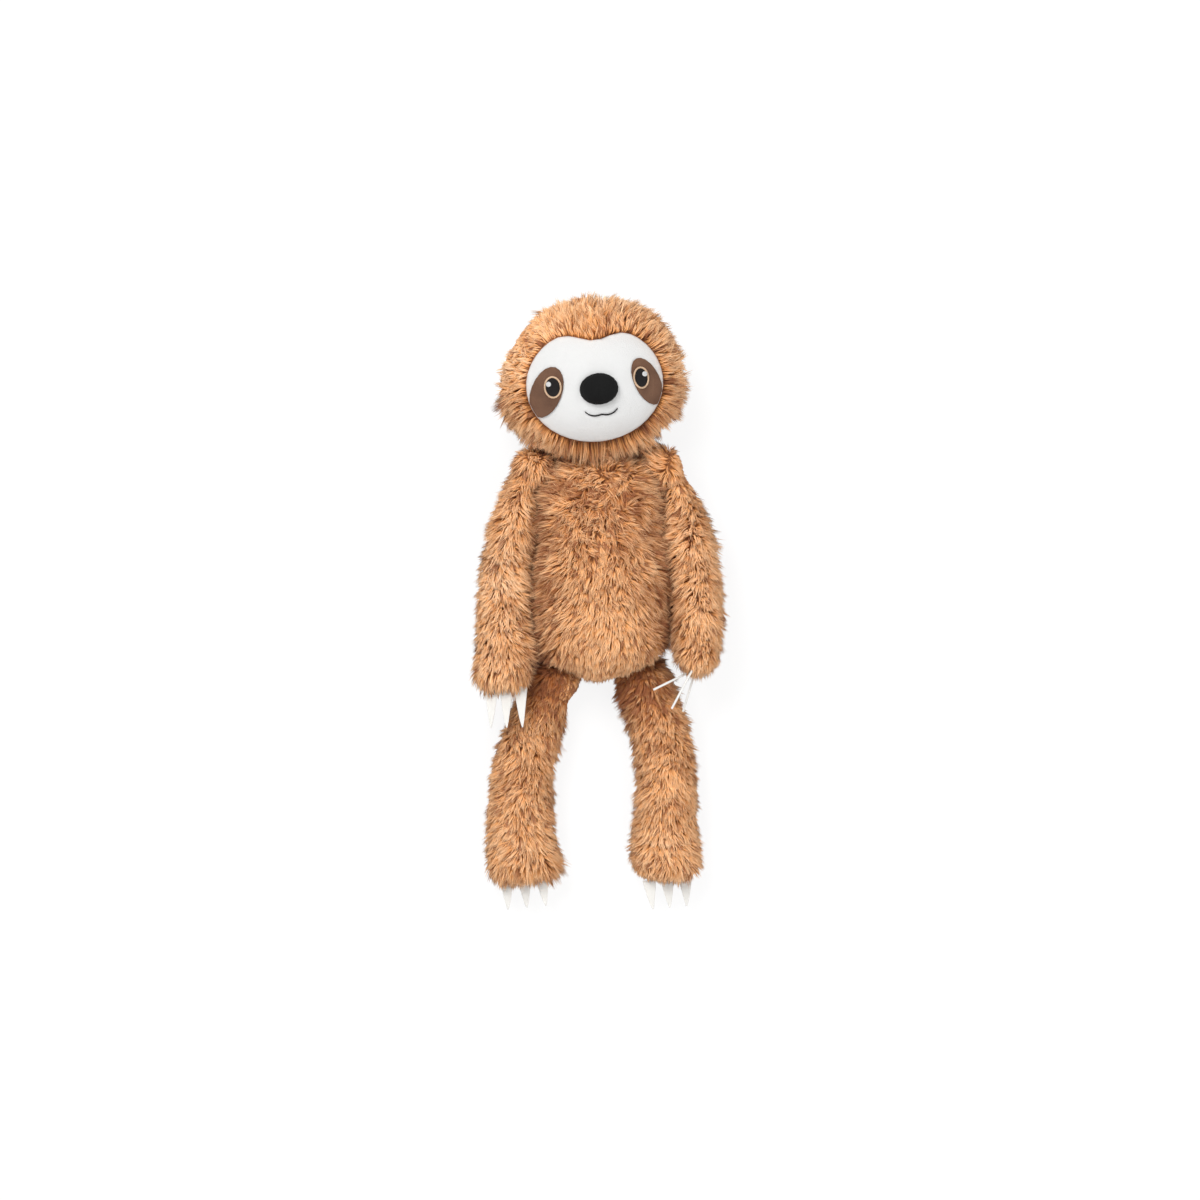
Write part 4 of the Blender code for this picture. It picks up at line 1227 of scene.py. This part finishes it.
class Dome:
    """The face's even curve, which takes the flats off the pieces that follow it."""

    spacing = 0.0015
    power = 6
    above = 0.3
    nearest = 4

    def __init__(self, panel: Piece) -> None:
        """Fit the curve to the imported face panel.

        Args:
            panel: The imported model's face panel.
        """
        points = Bench.points(panel)
        low, high = points.min(0), points.max(0)
        self.middle, self.half = (low + high) / 2, (high - low) / 2
        solid = Bench.solid(panel)
        hits = []
        for x in np.arange(low[0], high[0], self.spacing):
            for y in np.arange(low[1], high[1], self.spacing):
                hit = solid.ray_cast((x, y, self.above), (0, 0, -1))[0]
                if hit is not None:
                    hits.append(tuple(hit))
        hits = np.array(hits)
        terms = self.terms(hits)
        shares = np.linalg.lstsq(terms, hits[:, 2], rcond=None)[0]
        self.shifts = terms @ shares - hits[:, 2]
        self.tree = KDTree(len(hits))
        for index, hit in enumerate(hits):
            self.tree.insert((hit[0], hit[1], 0), index)
        self.tree.balance()

    def terms(self, points: np.ndarray) -> np.ndarray:
        """The powers of X and Y that the curve is a sum of.

        Args:
            points: The places where they are wanted.

        Returns:
            One row a point.
        """
        x, y = ((points[:, axis] - self.middle[axis]) / self.half[axis] for axis in (0, 1))
        powers = [(i, j) for i in range(self.power + 1) for j in range(self.power + 1 - i)]
        return np.stack([x**i * y**j for i, j in powers], 1)

    def round_off(self, piece: Piece) -> None:
        """Move a piece's points up or down, from the flats to the even curve.

        Args:
            piece: A piece that follows the face.
        """
        points = Bench.points(piece)
        for point in points:
            found = self.tree.find_n((point[0], point[1], 0), self.nearest)
            weights = [1 / (away + self.spacing) for _, _, away in found]
            near = [self.shifts[index] for _, index, _ in found]
            point[2] += np.average(near, weights=weights)
        Bench.move_points(piece, points)


@dataclass(frozen=True)
class Face:
    """The white face cloth and all that is sewn or stitched on it."""

    body: str = "head"
    cloth_fineness: Fineness = Fineness(voxel=0.0013, rounds=8)
    felt_fineness: Fineness = Fineness(voxel=0.0006, rounds=3)
    thread_fineness: Fineness = Fineness(voxel=0.00028, rounds=3)
    mouth_fineness: Fineness = Fineness(voxel=0.00028, rounds=2)
    nose_fineness: Fineness = Fineness(voxel=0.0008, rounds=4)
    crease_depth: float = 0.0007
    crease_width: float = 0.0007
    crease_share: float = 0.62
    cloth: NapFinish = NapFinish(
        "face_cloth",
        (0.588, 0.588, 0.583, 1.0),
        low=(0.565, 0.565, 0.56, 1.0),
        fibre_scale=1300.0,
        depth=0.0005,
    )
    felt: NapFinish = NapFinish(
        "patch_felt",
        (0.150, 0.076, 0.044, 1.0),
        sheen=0.05,
        low=(0.080, 0.038, 0.022, 1.0),
        fibre_scale=1500.0,
        depth=0.0006,
    )
    velour: NapFinish = NapFinish(
        "nose_velour",
        (0.008, 0.008, 0.008, 1.0),
        roughness=0.85,
        sheen=0.02,
        specular=0.08,
        low=(0.004, 0.004, 0.004, 1.0),
        fibre_scale=1600.0,
    )
    smile: ThreadFinish = ThreadFinish("mouth_thread", (0.012, 0.010, 0.010, 1.0), threads_across=7000.0)
    eye_threads: tuple[tuple[Slot, ThreadFinish], ...] = (
        (Slot.RING, ThreadFinish("eye_ring", (0.72, 0.50, 0.33, 1.0), specular=0.2, threads_round=110.0)),
        (Slot.BLACK, ThreadFinish("pupil", (0.010, 0.008, 0.008, 1.0), specular=0.2, threads_round=70.0)),
        (
            Slot.WHITE,
            ThreadFinish("catchlight", (0.635, 0.635, 0.635, 1.0), specular=0.2, threads_across=9000.0),
        ),
    )

    def build(self, nodes: dict) -> None:
        """Build and dress the face, the eyes, the nose and the mouth.

        Args:
            nodes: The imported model's nodes.
        """
        dome = Dome(nodes["face_panel"])
        panel = Bench.rebuild(nodes["face_panel"], "face_cloth", self.cloth_fineness)
        self.lay_on(dome, panel, self.cloth.material(), Slot.FACE, "face_panel")
        felt = self.felt.material()
        for side in ("left", "right"):
            self.eye(nodes, side, felt, dome)
        self.nose(nodes)
        mouth = Bench.rebuild(nodes["mouth_line"], "mouth_stitches", self.mouth_fineness)
        self.lay_on(dome, mouth, self.smile.material(), Slot.BLACK, "mouth_line")

    def lay_on(self, dome: Dome, piece: Piece, material: Material, slot: Slot, node: str) -> None:
        """Let a piece follow the face's curve, and dress it.

        Args:
            dome: The face's curve.
            piece: The piece.
            material: Its material.
            slot: The record's slot.
            node: The node that it stands for.
        """
        dome.round_off(piece)
        Bench.hand_over(piece, material, slot, self.body, node)

    def eye(self, nodes: dict, side: str, felt: Material, dome: Dome) -> None:
        """Build one eye: its felt patch, ring, pupil and catchlight.

        Args:
            nodes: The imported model's nodes.
            side: Which of the toy's sides it is on.
            felt: The patch's material.
            dome: The face's curve.
        """
        patch = Bench.rebuild(nodes[f"{side}_eye_patch"], f"{side}_eye_felt", self.felt_fineness)
        self.lay_on(dome, patch, felt, Slot.PATCH, f"{side}_eye_patch")
        low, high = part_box(f"{side}_eye_ring")
        centre = tuple((low + high) / 2)
        for slot, finish in self.eye_threads:
            node = f"{side}_{finish.name}"
            thread = replace(finish, name=f"{node}_thread", centre=centre).material()
            piece = Bench.rebuild(nodes[node], f"{node}_stitches", self.thread_fineness)
            self.lay_on(dome, piece, thread, slot, node)

    def nose(self, nodes: dict) -> None:
        """Build the domed nose, with the crease down its middle.

        Args:
            nodes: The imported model's nodes.
        """
        nose = Bench.rebuild(nodes["nose"], "nose_velour", self.nose_fineness)
        points = Bench.points(nose)
        low, high = (np.array(corner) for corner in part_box("nose"))
        middle = (low + high) / 2
        up = (points[:, 1] - low[1]) / (high[1] - low[1])
        across = (points[:, 0] - middle[0]) / self.crease_width
        points[:, 2] -= np.exp(-(across**2)) * (up < self.crease_share) * self.crease_depth
        Bench.move_points(nose, points)
        Bench.hand_over(nose, self.velour.material(), Slot.NOSE, self.body, "nose")


@dataclass(frozen=True)
class Claws:
    """The felt claws of both hands and both feet."""

    fineness: Fineness = Fineness(voxel=0.0005, rounds=4)
    felt: NapFinish = NapFinish(
        "claw_felt", (0.67, 0.66, 0.63, 1.0), low=(0.60, 0.59, 0.565, 1.0), fibre_scale=1400.0
    )

    def build(self, nodes: dict) -> None:
        """Build and dress every claw, each on the body of its own name.

        Args:
            nodes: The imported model's nodes.
        """
        felt = self.felt.material()
        for name in sorted(node for node in nodes if node.endswith("_claw")):
            claw = Bench.rebuild(nodes[name], f"{name}_felt", self.fineness)
            Bench.hand_over(claw, felt, Slot.CLAW, name, name)


@dataclass(frozen=True)
class Seams:
    """The strong thread that sews the neck and the limbs to the body."""

    thread: ThreadFinish = ThreadFinish("seam_thread", (0.30, 0.13, 0.05, 1.0), sheen=0.1, threads_round=90.0)

    def dress(self, nodes: dict) -> None:
        """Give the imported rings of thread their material.

        Args:
            nodes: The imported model's nodes.
        """
        for name in sorted(node for node in nodes if node.endswith("_seam_thread")):
            low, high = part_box(name)
            centre = tuple((low + high) / 2)
            Bench.paint(nodes[name], replace(self.thread, name=name, centre=centre).material())


@dataclass(frozen=True)
class Lamp:
    """One soft lamp of the studio."""

    name: str
    place: Triple
    size: float
    power: float


@dataclass(frozen=True)
class Studio:
    """A plain pale table, soft lamps, and a camera that looks straight at the toy's front."""

    table_size: float = 8.0
    table_drop: float = 0.0003
    table: Finish = Finish("table_top", (0.90, 0.90, 0.90, 1.0), sheen=0.0, specular=0.1)
    table_glow: float = 0.84
    sky: float = 0.54
    photo_width: float = 1.1016
    photo_centre: Triple = (0.001595, 0.003959, 0.05)
    lens: float = 350.0
    sensor: float = 36.0
    lamps: tuple[Lamp, ...] = (
        Lamp("key", (-0.9, 1.3, 2.4), size=1.5, power=70.0),
        Lamp("fill", (1.5, -0.4, 2.2), size=2.0, power=25.0),
        Lamp("front", (0.0, -1.6, 1.6), size=1.6, power=12.5),
    )

    def build(self) -> None:
        """Set up the table, the world, the lamps and the camera."""
        self.lay_table()
        self.light_world()
        for lamp in self.lamps:
            light = bpy.data.lights.new(lamp.name, "AREA")
            light.shape, light.size, light.energy = "SQUARE", lamp.size, lamp.power
            stand = Bench.add(lamp.name, light)
            stand.location = lamp.place
            aim = Vector(self.photo_centre) - Vector(lamp.place)
            stand.rotation_euler = aim.to_track_quat("-Z", "Y").to_euler()
        self.set_camera()

    def lay_table(self) -> None:
        """Lay the pale table top."""
        bpy.ops.object.select_all(action="DESELECT")
        bpy.ops.mesh.primitive_plane_add(size=self.table_size, location=(0, 0, -self.table_drop))
        top = bpy.context.object
        top.name = self.table.name
        material, bench, shader = self.table.start()
        glow = bench.add("ShaderNodeEmission", None, {"Color": WHITE, "Strength": 1.0})
        share = bench.math("MULTIPLY", self.seen(bench), self.table_glow)
        both = bench.add("ShaderNodeMixShader", None, {0: share, 1: shader.outputs[0], 2: glow.outputs[0]})
        bench.join(both.outputs[0], material.node_tree.nodes["Material Output"].inputs["Surface"])
        top.data.materials.append(material)

    def light_world(self) -> None:
        """Light the toy from all round, and show plain white behind it."""
        world = bpy.data.worlds.new("studio")
        world.use_nodes = True
        bpy.context.scene.world = world
        world.node_tree.nodes.clear()
        bench = NodeBench(world.node_tree)
        strength = bench.span(self.seen(bench), FULL_SPAN, (self.sky, 1.0))
        background = bench.add("ShaderNodeBackground", None, {"Color": WHITE, "Strength": strength})
        bench.add("ShaderNodeOutputWorld", None, {"Surface": background.outputs[0]})

    @staticmethod
    def seen(bench: NodeBench) -> Socket:
        """1 for what is looked at straight or in a reflection, and 0 for light that falls on things.

        Args:
            bench: The tree that asks.

        Returns:
            The answer's socket.
        """
        path = bench.add("ShaderNodeLightPath").outputs
        straight = bench.math("MAXIMUM", path["Is Camera Ray"], path["Is Glossy Ray"])
        return bench.math("MAXIMUM", straight, path["Is Transmission Ray"])

    def set_camera(self) -> None:
        """Look straight down at the toy, at the photograph's scale."""
        data = bpy.data.cameras.new("front")
        data.lens, data.sensor_width = self.lens, self.sensor
        camera = Bench.add("front", data)
        back = self.photo_width * self.lens / self.sensor
        camera.location = Vector(self.photo_centre) + Vector((0, 0, back))
        bpy.context.scene.camera = camera
        bpy.context.scene.view_settings.view_transform = "Standard"


def corners(box: tuple[Vector, Vector]) -> list[list[float]]:
    """A box's two corners as plain lists."""
    return [[float(value) for value in corner] for corner in box]


def main() -> None:
    """Load the frame, build every piece and set up the studio."""
    logging.basicConfig(level=logging.INFO, format="%(name)s %(message)s")
    for old in list(bpy.data.objects):
        bpy.data.objects.remove(old)
    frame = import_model()
    nodes = frame["nodes"]
    Coat().build(nodes)
    Face().build(nodes)
    Claws().build(nodes)
    Seams().dress(nodes)
    Studio().build()


if __name__ == "__main__":
    main()
